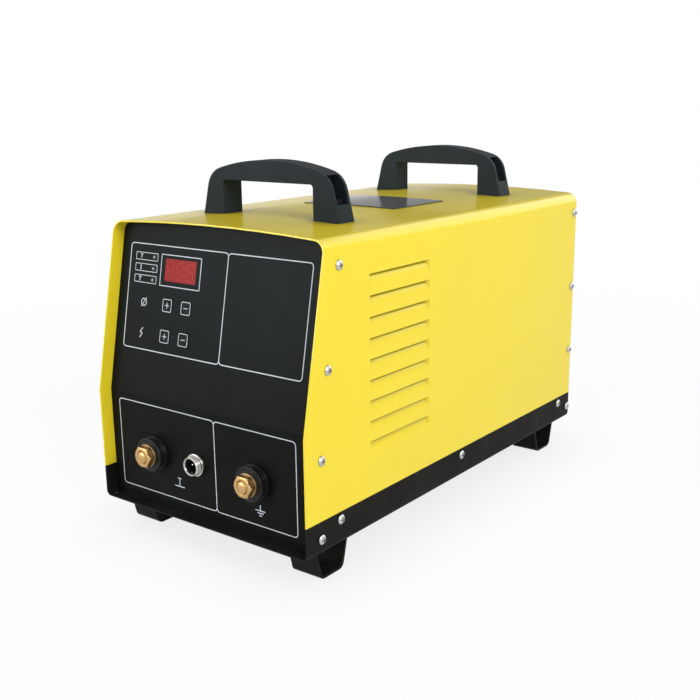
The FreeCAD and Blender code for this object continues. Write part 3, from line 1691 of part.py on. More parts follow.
def earth_stud():
    # Stud clamped to the panel by a nut on each side, with a washer and nut for a lead.
    x, z = earth_x, earth_z
    bore = earth_radius + thread_gap
    tip = earth_radius - socket_bevel
    end = rear_outside + earth_outer
    shapes = [fuse_all([rod_y(earth_radius, x, z, rear_inside - earth_inner, end - socket_bevel),
                        cone_y(earth_radius, tip, x, z, end - socket_bevel, end)])]
    washer_back = rear_outside + earth_nut_height + earth_washer
    shapes.append(ring_y(earth_washer_radius, bore, x, z, rear_outside + earth_nut_height, washer_back))
    for y in (rear_inside - earth_nut_height, rear_outside, washer_back):
        nut = hex_y(earth_nut_flats, x, z, y, y + earth_nut_height)
        shapes.append(nut.cut(rod_y(bore, x, z, y - overrun, y + overrun)))
    return group(shapes)


def pieces():
    front_y, rear_y = handle_centres
    left, right = key_columns()
    upper, lower = key_rows()
    both = (gun_x, ground_x)
    return {
        "cover": cover(),
        "base_tray": base_tray(),
        "front_panel": front_panel(),
        "panel_film": panel_film(),
        "rear_panel": rear_panel(),
        "display_window": display_window(),
        "display_module": display_module(),
        "indicator_leds": indicator_leds(),
        "key_upper_plus": key(left, upper),
        "key_upper_minus": key(right, upper),
        "key_lower_plus": key(left, lower),
        "key_lower_minus": key(right, lower),
        "key_switches": key_switches(),
        "control_board": control_board(),
        "board_standoffs": board_standoffs(),
        "front_handle": handle(front_y),
        "rear_handle": handle(rear_y),
        "handle_bolts": handle_bolts(),
        "handle_nuts": handle_nuts(),
        "handle_straps": handle_straps(),
        "feet": feet(),
        "foot_screws": foot_screws(),
        "case_screws": case_screws(),
        "top_plate": top_plate(),
        "front_insulators": group([front_insulator(x) for x in both]),
        "rear_insulators": group([rear_insulator(x) for x in both]),
        "terminal_studs": group([terminal_stud(x) for x in both]),
        "stud_nuts": stud_nuts(),
        "gun_nut": outer_nut(gun_x),
        "ground_nut": outer_nut(ground_x),
        "gun_washer": outer_washer(gun_x),
        "ground_washer": outer_washer(ground_x),
        "socket_shell": socket_shell(),
        "socket_insert": socket_insert(),
        "socket_pins": socket_pins(),
        "socket_nut": socket_nut(),
        "capacitor_cans": capacitor_cans(),
        "capacitor_lids": capacitor_lids(),
        "bar_screws": bar_screws(),
        "busbar_positive": comb(1),
        "busbar_negative": comb(-1),
        "copper_straps": copper_straps(),
        "capacitor_rack": capacitor_rack(),
        "rack_posts": rack_posts(),
        "equipment_shelf": equipment_shelf(),
        "transformer_winding": transformer_winding(),
        "transformer_clamp": transformer_clamp(),
        "heat_sink": heat_sink(),
        "power_modules": power_modules(),
        "power_board": power_board(),
        "fan_frame": fan_frame(),
        "fan_rotor": fan_rotor(),
        "fan_guard": fan_guard(),
        "fan_screws": fan_screws(),
        "mains_switch": mains_switch(),
        "mains_rocker": mains_rocker(),
        "fuse_holder": fuse_holder(),
        "fuse_cap": fuse_cap(),
        "cord_gland": cord_gland(),
        "earth_stud": earth_stud(),
    }


os.makedirs("parts", exist_ok=True)
for name, shape in pieces().items():
    shape.translate(vector(0, -middle_y, foot_height))
    solids = len(shape.Solids)
    print(name, solids, "solids", round(shape.Volume / 1000, 2), "cm3", shape.isValid())
    shape.exportStep("parts/" + name + ".step")
print("middle_y", middle_y)
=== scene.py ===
import json
import math
import bmesh
import bpy
from mathutils import Matrix, Vector


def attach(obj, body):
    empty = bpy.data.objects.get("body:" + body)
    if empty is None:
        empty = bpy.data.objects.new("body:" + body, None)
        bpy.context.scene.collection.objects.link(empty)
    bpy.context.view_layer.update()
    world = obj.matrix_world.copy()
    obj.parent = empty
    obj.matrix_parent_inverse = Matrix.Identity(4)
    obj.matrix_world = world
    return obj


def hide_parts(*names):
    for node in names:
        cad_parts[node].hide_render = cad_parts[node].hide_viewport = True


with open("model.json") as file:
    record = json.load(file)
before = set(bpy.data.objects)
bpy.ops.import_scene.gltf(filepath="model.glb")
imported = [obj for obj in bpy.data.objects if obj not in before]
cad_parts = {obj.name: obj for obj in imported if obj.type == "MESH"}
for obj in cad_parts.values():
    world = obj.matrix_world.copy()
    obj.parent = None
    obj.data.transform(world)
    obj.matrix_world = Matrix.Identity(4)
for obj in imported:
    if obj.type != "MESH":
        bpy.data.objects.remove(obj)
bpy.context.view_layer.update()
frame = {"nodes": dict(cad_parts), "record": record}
nodes = frame["nodes"]
scene = bpy.context.scene
scene.view_settings.view_transform = "Standard"
print("frame loaded:", len(nodes), "nodes")

# Sizes below are in millimetres, from the middle of the case, its front edge and the tray's underside.
# Sizes in the finishes, the camera and the lights are in metres.
case = {"frontToMiddle": 215.85, "footHeight": 26.0, "kneeHeight": 92.3, "leanDegrees": 11.157,
        "filmFront": 10.7, "rearFace": 419.5}
toRow = Matrix.Scale(0.001, 4) @ Matrix.Translation((0, -case["frontToMiddle"], case["footHeight"]))
onSlope = (Matrix.Translation((0, 0, case["kneeHeight"]))
           @ Matrix.Rotation(-math.radians(case["leanDegrees"]), 4, "X"))
facingBack = Matrix.Rotation(math.pi, 4, "Z")


class Wire:
    # a node and one of its outputs, which takes part in plain Python sums
    def __init__(self, web, node, output=0):
        self.web, self.node = web, node
        self.socket = node.outputs[output] if len(node.outputs) else None

    def maths(self, operation, *others):
        return self.web.add("ShaderNodeMath", {"operation": operation}, dict(enumerate([self, *others])))

    def __add__(self, other):
        return self.maths("ADD", other)

    def __sub__(self, other):
        return self.maths("SUBTRACT", other)

    def __rsub__(self, other):
        return self.web.add("ShaderNodeMath", {"operation": "SUBTRACT"}, {0: other, 1: self})

    def __mul__(self, other):
        return self.maths("MULTIPLY", other)

    def __gt__(self, other):
        return self.maths("GREATER_THAN", other)

    __radd__ = __add__
    __rmul__ = __mul__

    def clamped(self):
        return self.web.add("ShaderNodeClamp", {}, {"Value": self})


class NodeWeb:
    # the nodes of one material or of the world, each made by add
    def __init__(self, tree):
        self.tree = tree
        tree.nodes.clear()

    def add(self, kind, settings=None, inputs=None, output=0):
        node = self.tree.nodes.new(kind)
        for key, value in (settings or {}).items():
            if key == "stops":
                for stop, (at, shade) in zip(node.color_ramp.elements, value):
                    stop.position, stop.color = at, (shade, shade, shade, 1.0)
            else:
                setattr(node, key, value)
        for key, value in (inputs or {}).items():
            if isinstance(value, Wire):
                self.tree.links.new(value.socket, node.inputs[key])
            else:
                node.inputs[key].default_value = value
        return Wire(self, node, output)

    def seenRays(self):
        # one for rays of the camera, off glossy surfaces and through clear ones
        camera, glossy, through = (self.add("ShaderNodeLightPath", {}, {}, f"Is {kind} Ray")
                                   for kind in ("Camera", "Glossy", "Transmission"))
        return camera.maths("MAXIMUM", glossy).maths("MAXIMUM", through)


class Finish(NodeWeb):
    # one Principled material; numbers that are the same all over sit on its own sockets
    def __init__(self, name, colour, roughness, metallic=0.0, **sockets):
        self.material = bpy.data.materials.new(name)
        self.material.use_nodes = True
        self.material.diffuse_color = (*colour, 1.0)
        super().__init__(self.material.node_tree)
        fixed = {key.replace("_", " "): value for key, value in sockets.items()}
        self.shader = self.add("ShaderNodeBsdfPrincipled", {}, {
            "Base Color": (*colour, 1.0), "Roughness": roughness, "Metallic": metallic, **fixed})
        self.output = self.add("ShaderNodeOutputMaterial", {}, {"Surface": self.shader})
        self.place = self.add("ShaderNodeTexCoord", {}, {}, "Object")

    def stretched(self, x, y, z):
        return self.add("ShaderNodeMapping", {}, {"Vector": self.place, "Scale": (x, y, z)})

    def noise(self, scale, detail=2.0, place=None):
        inputs = {"Vector": place or self.place, "Scale": scale, "Detail": detail}
        return self.add("ShaderNodeTexNoise", {}, inputs)

    def patches(self, scale, detail, low, high, amount=1.0, place=None):
        # noise cut to blotches that fade in between two of its levels
        mask = self.ramp(self.noise(scale, detail, place), low, high)
        return mask if amount == 1.0 else mask * amount

    def uneven(self, base, scale, swing, detail=3.0):
        return base + self.noise(scale, detail) * swing

    def cells(self, scale):
        return self.add("ShaderNodeTexVoronoi", {}, {"Vector": self.place, "Scale": scale})

    def ramp(self, value, low, high):
        return self.add("ShaderNodeValToRGB", {"stops": ((low, 0.0), (high, 1.0))}, {"Fac": value})

    def blend(self, amount, first, second):
        first = first if isinstance(first, Wire) else (*first, 1.0)
        second = second if isinstance(second, Wire) else (*second, 1.0)
        return self.add("ShaderNodeMix", {"data_type": "RGBA"}, {0: amount, 6: first, 7: second}, 2)

    def along(self, axis):
        return self.add("ShaderNodeSeparateXYZ", {}, {0: self.place}, axis)

    def facing(self):
        # the surface's own direction, before any bump
        return self.add("ShaderNodeNewGeometry", {}, {}, "Normal")

    def openness(self, reach, samples=6):
        return self.add("ShaderNodeAmbientOcclusion", {"samples": samples}, {"Distance": reach}, "AO")

    def hollows(self, reach, closed=0.35):
        # near one down in corners and gaps; the finishes use it to paint shade there
        return 1 - self.ramp(self.openness(reach), closed, 1.0)

    def rounded(self, radius):
        return self.add("ShaderNodeBevel", {"samples": 4}, {"Radius": radius})

    def edges(self, radius, gain=6.0):
        # near one where the surface turns a corner, from the bevelled normal
        same = self.add("ShaderNodeVectorMath", {"operation": "DOT_PRODUCT"},
                        {0: self.rounded(radius), 1: self.facing()}, "Value")
        return ((1 - same) * gain).clamped()

    def bump(self, height, depth, strength, softEdge=None):
        inputs = {"Height": height, "Distance": depth, "Strength": strength}
        if softEdge:
            inputs["Normal"] = self.rounded(softEdge)
        return self.add("ShaderNodeBump", {}, inputs)

    def feed(self, **wires):
        for key, wire in wires.items():
            self.tree.links.new(wire.socket, self.shader.node.inputs[key.replace("_", " ")])
        return self.material

    def show(self, wire):
        # puts another shader in place of the Principled one
        self.tree.links.new(wire.socket, self.output.node.inputs["Surface"])


# In a look the numbers of a patch are its scale, its detail, the two levels of its fade and how much of it
# shows; those of uneven are a base, a scale and a swing; those of relief are a depth, a strength and the
# radius to which edges are softened.
mouldedLook = {"mottle": (18.0, 3.0, 0.35, 0.65), "wear": 0.08, "lift": 0.001, "rubEdge": 0.0006,
               "rub": (160.0, 2.0, 0.4, 0.6), "unevenScale": 60.0, "softEdge": 0.0003}


def moulded(colour, roughness, grain, depth=0.00002, edge=None, **sockets):
    # a general moulding: mottled colour, uneven roughness, fine grain, and lighter rubbed edges
    def build(name):
        look = mouldedLook
        finish = Finish(name, colour, roughness, **sockets)
        dark = [c * (1 - look["wear"]) for c in colour]
        light = [min(1.0, c * (1 + look["wear"]) + look["lift"]) for c in colour]
        shade = finish.blend(finish.patches(*look["mottle"]), dark, light)
        if edge:
            amount, worn = edge
            rub = finish.edges(look["rubEdge"]) * finish.patches(*look["rub"])
            shade = finish.blend(rub * amount, shade, worn)
        return finish.feed(Base_Color=shade,
                           Roughness=finish.uneven(roughness * 0.8, look["unevenScale"], roughness * 0.4),
                           Normal=finish.bump(finish.noise(grain), depth, 1.0, look["softEdge"]))
    return build


metalLook = {"patch": (120.0, 4.0, 0.5, 0.72), "patchAmount": 0.5, "patchRough": 0.12, "hollow": 0.002,
             "hollowAmount": 0.5, "hollowShade": 0.35, "lineRough": 0.08, "relief": (0.00001, 0.5, 0.00025)}


def metal(colour, roughness, lines, tarnish, streak=(1.0, 60.0, 1.0)):
    # fine tool lines along one axis, patches of tarnish, and painted shade in the hollows
    def build(name):
        look = metalLook
        finish = Finish(name, colour, roughness, 1.0)
        tool = finish.noise(lines, 3.0, finish.stretched(*streak))
        patch = finish.patches(*look["patch"])
        shade = finish.blend(patch * look["patchAmount"], colour, tarnish)
        # painted shade: hollows take a darker copy of the tarnish colour
        deep = [c * look["hollowShade"] for c in tarnish]
        shade = finish.blend(finish.hollows(look["hollow"]) * look["hollowAmount"], shade, deep)
        uneven = roughness + patch * look["patchRough"] + tool * look["lineRough"]
        return finish.feed(Base_Color=shade, Roughness=uneven, Normal=finish.bump(tool, *look["relief"]))
    return build


def yellowPaint(name):
    # faint orange peel, painted shade in corners and louvres that is stronger behind the cover's front lip,
    # chipped edges and dust
    look = {"colour": (0.92, 0.735, 0.026), "deep": (0.87, 0.675, 0.020), "paintedShade": (0.40, 0.32, 0.02),
            "chip": (0.60, 0.52, 0.25), "dust": (0.75, 0.66, 0.30), "drift": (6.0, 2.0, 0.3, 0.7, 0.3),
            "hollow": 0.018, "shadeOnLip": 0.15, "shadeBehindLip": 0.8, "lipY": -0.2005, "kneeZ": 0.118,
            "chipEdge": 0.0006, "chipScale": 260.0, "chipLevel": 0.68, "chipAmount": 0.6,
            "dustPatch": (520.0, 2.0, 0.70, 0.78, 0.12), "uneven": (0.27, 20.0, 0.06, 2.0),
            "peelScale": 420.0, "relief": (0.000006, 0.8, 0.0011)}
    finish = Finish(name, look["colour"], 0.27, Specular_IOR_Level=0.15, Coat_Weight=0.4,
                    Coat_Roughness=0.09)
    shade = finish.blend(finish.patches(*look["drift"]), look["colour"], look["deep"])
    aboveKnee = (finish.along("Z") - look["kneeZ"]).maths("MAXIMUM", 0.0)
    lean = aboveKnee * math.tan(math.radians(case["leanDegrees"]))
    behindLip = (finish.along("Y") - lean) > look["lipY"]
    # painted shade: colour darkened in corners and hollows, most of all behind the front lip
    paintedShade = finish.hollows(look["hollow"]) * (look["shadeOnLip"] + behindLip * look["shadeBehindLip"])
    shade = finish.blend(paintedShade, shade, look["paintedShade"])
    chips = finish.edges(look["chipEdge"]) * (finish.noise(look["chipScale"], 3.0) > look["chipLevel"])
    shade = finish.blend(chips * look["chipAmount"], shade, look["chip"])
    dust = finish.patches(*look["dustPatch"])
    shade = finish.blend(dust, shade, look["dust"])
    return finish.feed(Base_Color=shade, Roughness=finish.uneven(*look["uneven"]) + dust,
                       Normal=finish.bump(finish.noise(look["peelScale"], 1.0), *look["relief"]))


def wornShade(finish, look):
    # two mixed shades with lighter rubbed edges
    shade = finish.blend(finish.patches(*look["mottle"]), look["colour"], look["light"])
    rub = finish.edges(look["rubEdge"]) * finish.patches(*look["rub"])
    return finish.blend(rub, shade, look["worn"])


def blackPowder(name):
    # grained powder coat, greyer on rubbed edges and a little dusty
    look = {"colour": (0.0085, 0.0082, 0.0074), "light": (0.014, 0.0135, 0.0122),
            "worn": (0.07, 0.067, 0.063), "dust": (0.28, 0.25, 0.21), "mottle": (25.0, 3.0, 0.35, 0.7),
            "rubEdge": 0.0008, "rub": (150.0, 3.0, 0.42, 0.62, 0.4),
            "dustPatch": (70.0, 5.0, 0.55, 0.8, 0.025), "uneven": (0.42, 45.0, 0.2), "grain": 900.0,
            "fineGrain": 1900.0, "fineShare": 0.5, "relief": (0.00007, 0.5, 0.0005)}
    finish = Finish(name, look["colour"], 0.5, Specular_IOR_Level=0.045)
    shade = finish.blend(finish.patches(*look["dustPatch"]), wornShade(finish, look), look["dust"])
    coat = finish.cells(look["grain"]) + finish.noise(look["fineGrain"]) * look["fineShare"]
    return finish.feed(Base_Color=shade, Roughness=finish.uneven(*look["uneven"]),
                       Normal=finish.bump(coat, *look["relief"]))


def overlayFilm(name):
    # printed polycarbonate: satin, almost flat, with a faint orange peel and fine hair scratches
    look = {"colour": (0.0095, 0.0125, 0.0130), "low": (0.0070, 0.0078, 0.0070), "fade": (0.09, 0.21),
            "cloud": (0.020, 0.023, 0.024), "cloudPatch": (40.0, 4.0, 0.4, 0.75, 0.15),
            "hair": (150.0, 3.0, 0.66, 0.74, 0.06), "uneven": (0.3, 30.0, 0.1), "peelScale": 1100.0,
            "relief": (0.000008, 0.6)}
    finish = Finish(name, look["colour"], 0.36, Specular_IOR_Level=0.035)
    # painted shade: the film is darker towards its lower part
    shade = finish.blend(finish.ramp(finish.along("Z"), *look["fade"]), look["low"], look["colour"])
    shade = finish.blend(finish.patches(*look["cloudPatch"]), shade, look["cloud"])
    hair = finish.patches(*look["hair"], finish.stretched(1.0, 1.0, 12.0))
    return finish.feed(Base_Color=shade, Roughness=finish.uneven(*look["uneven"]) + hair,
                       Normal=finish.bump(finish.noise(look["peelScale"]), *look["relief"]))


def handleMoulding(name):
    # a grained grip, rubbed lighter along its edges and polished in patches
    look = {"colour": (0.0155, 0.0215, 0.0265), "light": (0.021, 0.028, 0.034),
            "worn": (0.075, 0.085, 0.092), "mottle": (30.0, 4.0, 0.3, 0.75), "rubEdge": 0.0009,
            "rub": (120.0, 4.0, 0.4, 0.6, 0.4), "roughness": 0.52,
            "polish": (14.0, 2.0, 0.4, 0.7, 0.1), "grain": 1400.0, "relief": (0.00004, 0.5, 0.0007)}
    finish = Finish(name, look["colour"], 0.46, Specular_IOR_Level=0.07)
    return finish.feed(Base_Color=wornShade(finish, look),
                       Roughness=look["roughness"] - finish.patches(*look["polish"]),
                       Normal=finish.bump(finish.cells(look["grain"]), *look["relief"]))


def brushedPlate(name):
    # bright on its face, with its side faces painted dark as shade
    look = {"colour": (0.47, 0.48, 0.485), "cloud": (0.37, 0.375, 0.38), "sideShade": (0.035, 0.03, 0.018),
            "cloudPatch": (40.0, 3.0, 0.4, 0.75, 0.5), "faceLevel": 0.8, "metal": 0.72, "rimRough": 0.67,
            "faceSmooth": 0.6, "lines": 60.0, "lineRough": 0.08, "relief": (0.000006, 0.6)}
    finish = Finish(name, look["colour"], 0.3, 1.0)
    brush = finish.noise(look["lines"], 4.0, finish.stretched(1.0, 60.0, 1.0))
    shade = finish.blend(finish.patches(*look["cloudPatch"]), look["colour"], look["cloud"])
    # painted shade: faces that don't look up are given a dark colour
    face = finish.add("ShaderNodeSeparateXYZ", {}, {0: finish.facing()}, "Z") > look["faceLevel"]
    uneven = look["rimRough"] - face * look["faceSmooth"] + brush * look["lineRough"]
    return finish.feed(Base_Color=finish.blend(face, look["sideShade"], shade), Metallic=face * look["metal"],
                       Roughness=uneven, Normal=finish.bump(brush, *look["relief"]))


def redWindow(name):
    # a tinted window with a faint painted glow in its own tint
    look = {"colour": (0.275, 0.017, 0.015), "deep": (0.24, 0.014, 0.013), "mottle": (55.0, 3.0, 0.35, 0.7),
            "uneven": (0.16, 70.0, 0.1), "rippleScale": 600.0, "relief": (0.000004, 0.5)}
    # painted glow: the window gives off a little light in its own tint
    finish = Finish(name, look["colour"], 0.2, Specular_IOR_Level=0.06, Emission_Strength=0.15)
    tint = finish.blend(finish.patches(*look["mottle"]), look["colour"], look["deep"])
    return finish.feed(Base_Color=tint, Emission_Color=tint, Roughness=finish.uneven(*look["uneven"]),
                       Normal=finish.bump(finish.noise(look["rippleScale"]), *look["relief"]))


def circuitBoard(name):
    # solder mask over tracks
    look = {"mask": (0.010, 0.10, 0.035), "track": (0.015, 0.15, 0.05), "pitch": 380.0, "gap": 0.08,
            "length": 2.4, "trackFade": (0.2, 0.9), "uneven": (0.3, 90.0, 0.15), "relief": (0.00004, 0.6)}
    finish = Finish(name, look["mask"], 0.35)
    tracks = finish.add("ShaderNodeTexBrick", {"offset": 0.5}, {
        "Vector": finish.place, "Scale": look["pitch"], "Color1": (0, 0, 0, 1), "Color2": (1, 1, 1, 1),
        "Mortar": (0.5, 0.5, 0.5, 1), "Mortar Size": look["gap"], "Brick Width": look["length"]})
    shade = finish.blend(finish.ramp(tracks, *look["trackFade"]), look["mask"], look["track"])
    return finish.feed(Base_Color=shade, Roughness=finish.uneven(*look["uneven"]),
                       Normal=finish.bump(tracks, *look["relief"]))


def windingTape(name):
    # varnished polyester tape, a little blotched, with painted shade towards each overlap
    look = {"colour": (0.62, 0.47, 0.12), "shade": (0.40, 0.28, 0.06), "hollow": 0.0015,
            "blotch": (60.0, 4.0, 0.35, 0.7, 0.6), "hollowAmount": 0.8, "uneven": (0.32, 80.0, 0.14),
            "weave": 900.0, "relief": (0.00003, 0.5)}
    finish = Finish(name, look["colour"], 0.36, Coat_Weight=0.3, Coat_Roughness=0.2)
    shade = finish.blend(finish.patches(*look["blotch"]), look["colour"], look["shade"])
    # painted shade where one turn of tape laps over the next
    shade = finish.blend(finish.hollows(look["hollow"]) * look["hollowAmount"], shade, look["shade"])
    return finish.feed(Base_Color=shade, Roughness=finish.uneven(*look["uneven"]),
                       Normal=finish.bump(finish.noise(look["weave"]), *look["relief"]))


def printedSleeve(name):
    # shrink sleeve of a capacitor: dark film with a pale stripe down it
    look = {"colour": (0.012, 0.02, 0.06), "stripe": (0.55, 0.58, 0.62), "pitch": 0.034,
            "stripeFrom": 0.93, "stripeAmount": 0.85, "wrinkleScale": 140.0, "roughness": 0.22,
            "unevenAmount": 0.14, "relief": (0.00006, 0.5)}
    finish = Finish(name, look["colour"], 0.28, Coat_Weight=0.2, Coat_Roughness=0.1)
    wave = (finish.along("X") + look["pitch"]).maths("PINGPONG", look["pitch"])
    stripe = (wave > look["pitch"] * look["stripeFrom"]) * look["stripeAmount"]
    wrinkle = finish.noise(look["wrinkleScale"], 3.0, finish.stretched(1.0, 1.0, 0.2))
    return finish.feed(Base_Color=finish.blend(stripe, look["colour"], look["stripe"]),
                       Roughness=look["roughness"] + wrinkle * look["unevenAmount"],
                       Normal=finish.bump(wrinkle, *look["relief"]))


# moulded takes colour, roughness and grain; metal takes colour, roughness, tool lines and tarnish
blackEdge = (0.4, (0.035, 0.035, 0.036))
slotFinish = {
    "yellow_paint": yellowPaint, "black_paint": blackPowder, "panel_film": overlayFilm,
    "handle_plastic": handleMoulding, "bare_plate": brushedPlate, "red_window": redWindow,
    "circuit_board": circuitBoard, "winding_tape": windingTape, "can_sleeve": printedSleeve,
    "display_case": moulded((0.02, 0.02, 0.021), 0.4, 900.0),
    "led_lens": moulded((0.26, 0.28, 0.28), 0.2, 700.0, depth=0.00001, Coat_Weight=0.3),
    "key_plastic": moulded((0.0095, 0.0120, 0.0125), 0.38, 1100.0, depth=0.00001, Specular_IOR_Level=0.05),
    "switch_plastic": moulded((0.015, 0.015, 0.016), 0.45, 900.0),
    "nylon": moulded((0.70, 0.69, 0.64), 0.5, 500.0),
    "zinc_steel": metal((0.52, 0.53, 0.52), 0.28, 80.0, (0.36, 0.36, 0.33), (6.0, 6.0, 6.0)),
    "plain_steel": metal((0.55, 0.56, 0.57), 0.34, 40.0, (0.40, 0.40, 0.40), (1.0, 30.0, 1.0)),
    "black_steel": moulded((0.009, 0.009, 0.009), 0.4, 500.0, edge=(0.3, (0.04, 0.04, 0.04)),
                           Specular_IOR_Level=0.06),
    "insulator": moulded((0.0070, 0.0078, 0.0085), 0.34, 700.0, edge=blackEdge, Specular_IOR_Level=0.2),
    "terminal_brass": metal((0.55, 0.35, 0.145), 0.31, 70.0, (0.36, 0.21, 0.07)),
    "socket_chrome": metal((0.54, 0.525, 0.50), 0.2, 70.0, (0.36, 0.34, 0.31)),
    "socket_plastic": moulded((0.010, 0.0095, 0.009), 0.4, 900.0, Specular_IOR_Level=0.3),
    "pin_silver": metal((0.88, 0.86, 0.82), 0.18, 90.0, (0.65, 0.62, 0.55)),
    "can_lid": moulded((0.045, 0.032, 0.024), 0.42, 700.0),
    "copper": metal((0.80, 0.37, 0.22), 0.3, 50.0, (0.50, 0.20, 0.10), (1.0, 25.0, 1.0)),
    "sink_aluminium": metal((0.72, 0.73, 0.74), 0.34, 45.0, (0.55, 0.56, 0.57), (1.0, 1.0, 25.0)),
    "module_plastic": moulded((0.16, 0.155, 0.145), 0.5, 800.0),
    "fan_plastic": moulded((0.013, 0.013, 0.014), 0.42, 800.0, edge=blackEdge),
    "guard_chrome": metal((0.70, 0.70, 0.69), 0.2, 60.0, (0.52, 0.52, 0.50)),
    "switch_body": moulded((0.012, 0.012, 0.0125), 0.4, 900.0, edge=blackEdge),
    "rocker_plastic": moulded((0.014, 0.014, 0.015), 0.3, 900.0, depth=0.00001),
    "fuse_plastic": moulded((0.012, 0.012, 0.013), 0.36, 900.0, edge=blackEdge),
    "gland_nylon": moulded((0.014, 0.014, 0.015), 0.45, 700.0, edge=blackEdge),
}
finishes = {slotName: build(slotName) for slotName, build in slotFinish.items()}
printInk = moulded((0.60, 0.65, 0.71), 0.45, 900.0, depth=0.00001)("print_ink")
digitInk = moulded((0.36, 0.034, 0.031), 0.3, 700.0, depth=0.00001, Specular_IOR_Level=0.06)("digit_ink")
agedZinc = metal((0.06, 0.06, 0.06), 0.45, 80.0, (0.03, 0.03, 0.03))("aged_zinc")
# a darker copy of the terminal brass for the washers: painted shade
shadedBrass = metal((0.34, 0.235, 0.115), 0.42, 70.0, (0.20, 0.14, 0.07))("shaded_brass")
slotOf = {row["node"]: row["material_slot"] for row in frame["record"]["subparts"]}
for nodeName, nodeObject in nodes.items():
    for place in nodeObject.material_slots:
        place.material = finishes[slotOf[nodeName]]
print("finishes made for", len(finishes), "slots, two inks and two darkened metals")


def meshObject(bm, name, material):
    mesh = bpy.data.meshes.new(name)
    bm.to_mesh(mesh)
    bm.free()
    mesh.materials.append(material)
    piece = bpy.data.objects.new(name, mesh)
    scene.collection.objects.link(piece)
    return piece


def keep(bm, name, body, slotName, finish=None, where=None, replaced=(), smooth=35.0):
    # cleans the mesh, puts it in the row's frame and lets it ride
    bmesh.ops.remove_doubles(bm, verts=bm.verts, dist=0.0005)
    bmesh.ops.recalc_face_normals(bm, faces=bm.faces)
    bm.transform(toRow @ (where or Matrix.Identity(4)))
    piece = meshObject(bm, name, finish or finishes[slotName])
    piece.data.polygons.foreach_set("use_smooth", [True] * len(piece.data.polygons))
    piece.data.set_sharp_from_angle(angle=math.radians(smooth))
    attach(piece, body)
    if replaced:
        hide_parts(*replaced)


def bar(bm, x0, z0, x1, z1, width, depth, thick):
    # a flat stroke between two points, standing proud of the depth towards the front
    run, rise = x1 - x0, z1 - z0
    size = Matrix.Diagonal((math.hypot(run, rise), thick, width, 1.0))
    place = Matrix.Translation(((x0 + x1) / 2, depth - thick / 2, (z0 + z1) / 2))
    turn = Matrix.Rotation(-math.atan2(rise, run), 4, "Y")
    bmesh.ops.create_cube(bm, size=1.0, matrix=place @ turn @ size)


def softBox(bm, x0, x1, y0, y1, z0, z1, radius, segments=2):
    # a box with all its edges rounded
    size = Matrix.Diagonal((x1 - x0, y1 - y0, z1 - z0, 1.0))
    place = Matrix.Translation(((x0 + x1) / 2, (y0 + y1) / 2, (z0 + z1) / 2))
    made = bmesh.ops.create_cube(bm, size=1.0, matrix=place @ size)
    edges = list({edge for vert in made["verts"] for edge in vert.link_edges})
    bmesh.ops.bevel(bm, geom=edges, offset=radius, offset_type="OFFSET", segments=segments, profile=0.5,
                    affect="EDGES", material=-1)


def frameLine(bm, x0, x1, z0, z1, radius, line, depth, thick):
    # a rounded frame: a sheet with its corners rounded, inset, its middle taken out, then raised
    middle = Matrix.Translation(((x0 + x1) / 2, depth, (z0 + z1) / 2))
    size = Matrix.Diagonal(((x1 - x0) / 2, 1.0, (z1 - z0) / 2, 1.0))
    before = set(bm.faces)
    grid = bmesh.ops.create_grid(bm, x_segments=1, y_segments=1, size=1.0,
                                 matrix=middle @ size @ Matrix.Rotation(math.pi / 2, 4, "X"))
    bmesh.ops.bevel(bm, geom=grid["verts"], offset=radius, offset_type="OFFSET", segments=5,
                    profile=0.5, affect="VERTICES", material=-1)
    sheet = max(set(bm.faces) - before, key=lambda face: face.calc_area())
    ring = bmesh.ops.inset_region(bm, faces=[sheet], thickness=line, use_even_offset=True,
                                  use_boundary=True)["faces"]
    bmesh.ops.delete(bm, geom=[sheet], context="FACES_ONLY")
    raised = bmesh.ops.extrude_face_region(bm, geom=ring)
    bmesh.ops.translate(bm, vec=(0, -thick, 0),
                        verts=[vert for vert in raised["geom"] if isinstance(vert, bmesh.types.BMVert)])


def turned(bm, x, z, profile, steps=48, closed=False):
    # spins a profile of (distance along y, radius) about a line through x and z
    ring = [bm.verts.new((x, along, z + radius)) for along, radius in profile]
    pairs = list(zip(ring[:-1], ring[1:])) + ([(ring[-1], ring[0])] if closed else [])
    sides = [bm.edges.new(pair) for pair in pairs]
    bmesh.ops.spin(bm, geom=ring + sides, cent=(x, 0, z), axis=(0, 1, 0), dvec=(0, 0, 0),
                   angle=2 * math.pi, steps=steps, use_merge=True)
    bmesh.ops.remove_doubles(bm, verts=bm.verts, dist=0.0005)


def threaded(start, end, radius, pitch, depth):
    # the sawtooth outline of a thread between two places, with narrow flat crests
    count = int((end - start) / pitch)
    points = []
    for k in range(count):
        points += [(start + k * pitch, radius - depth), (start + (k + 0.4) * pitch, radius),
                   (start + (k + 0.6) * pitch, radius)]
    return points + [(start + count * pitch, radius - depth)]


def hexTrim(bm, x, z, flats):
    # draws a turned blank in to a hexagon with two level flats, which leaves the turned chamfers
    sixth = math.pi / 3
    for vert in bm.verts:
        across, up = vert.co.x - x, vert.co.z - z
        radius = math.hypot(across, up)
        if radius > flats * 0.4:                             # the bore stays round
            turn = (math.atan2(up, across) + sixth / 2) % sixth - sixth / 2
            limit = flats / 2 / math.cos(sixth / 2 - abs(turn))
            if radius > limit:
                vert.co.x, vert.co.z = x + across * limit / radius, z + up * limit / radius


def arc(bm, x, z, radius, width, depth, thick, steps=24):
    # a ring of print: a small section spun about its centre
    inner, outer = radius - width / 2, radius + width / 2
    corners = [bm.verts.new((x + r, y, z)) for r, y in
               ((inner, depth), (outer, depth), (outer, depth - thick), (inner, depth - thick))]
    edges = [bm.edges.new((corners[k], corners[(k + 1) % 4])) for k in range(4)]
    bmesh.ops.spin(bm, geom=[*edges, *corners], cent=(x, 0, z), axis=(0, -1, 0), dvec=(0, 0, 0),
                   angle=2 * math.pi, steps=steps, use_merge=True)


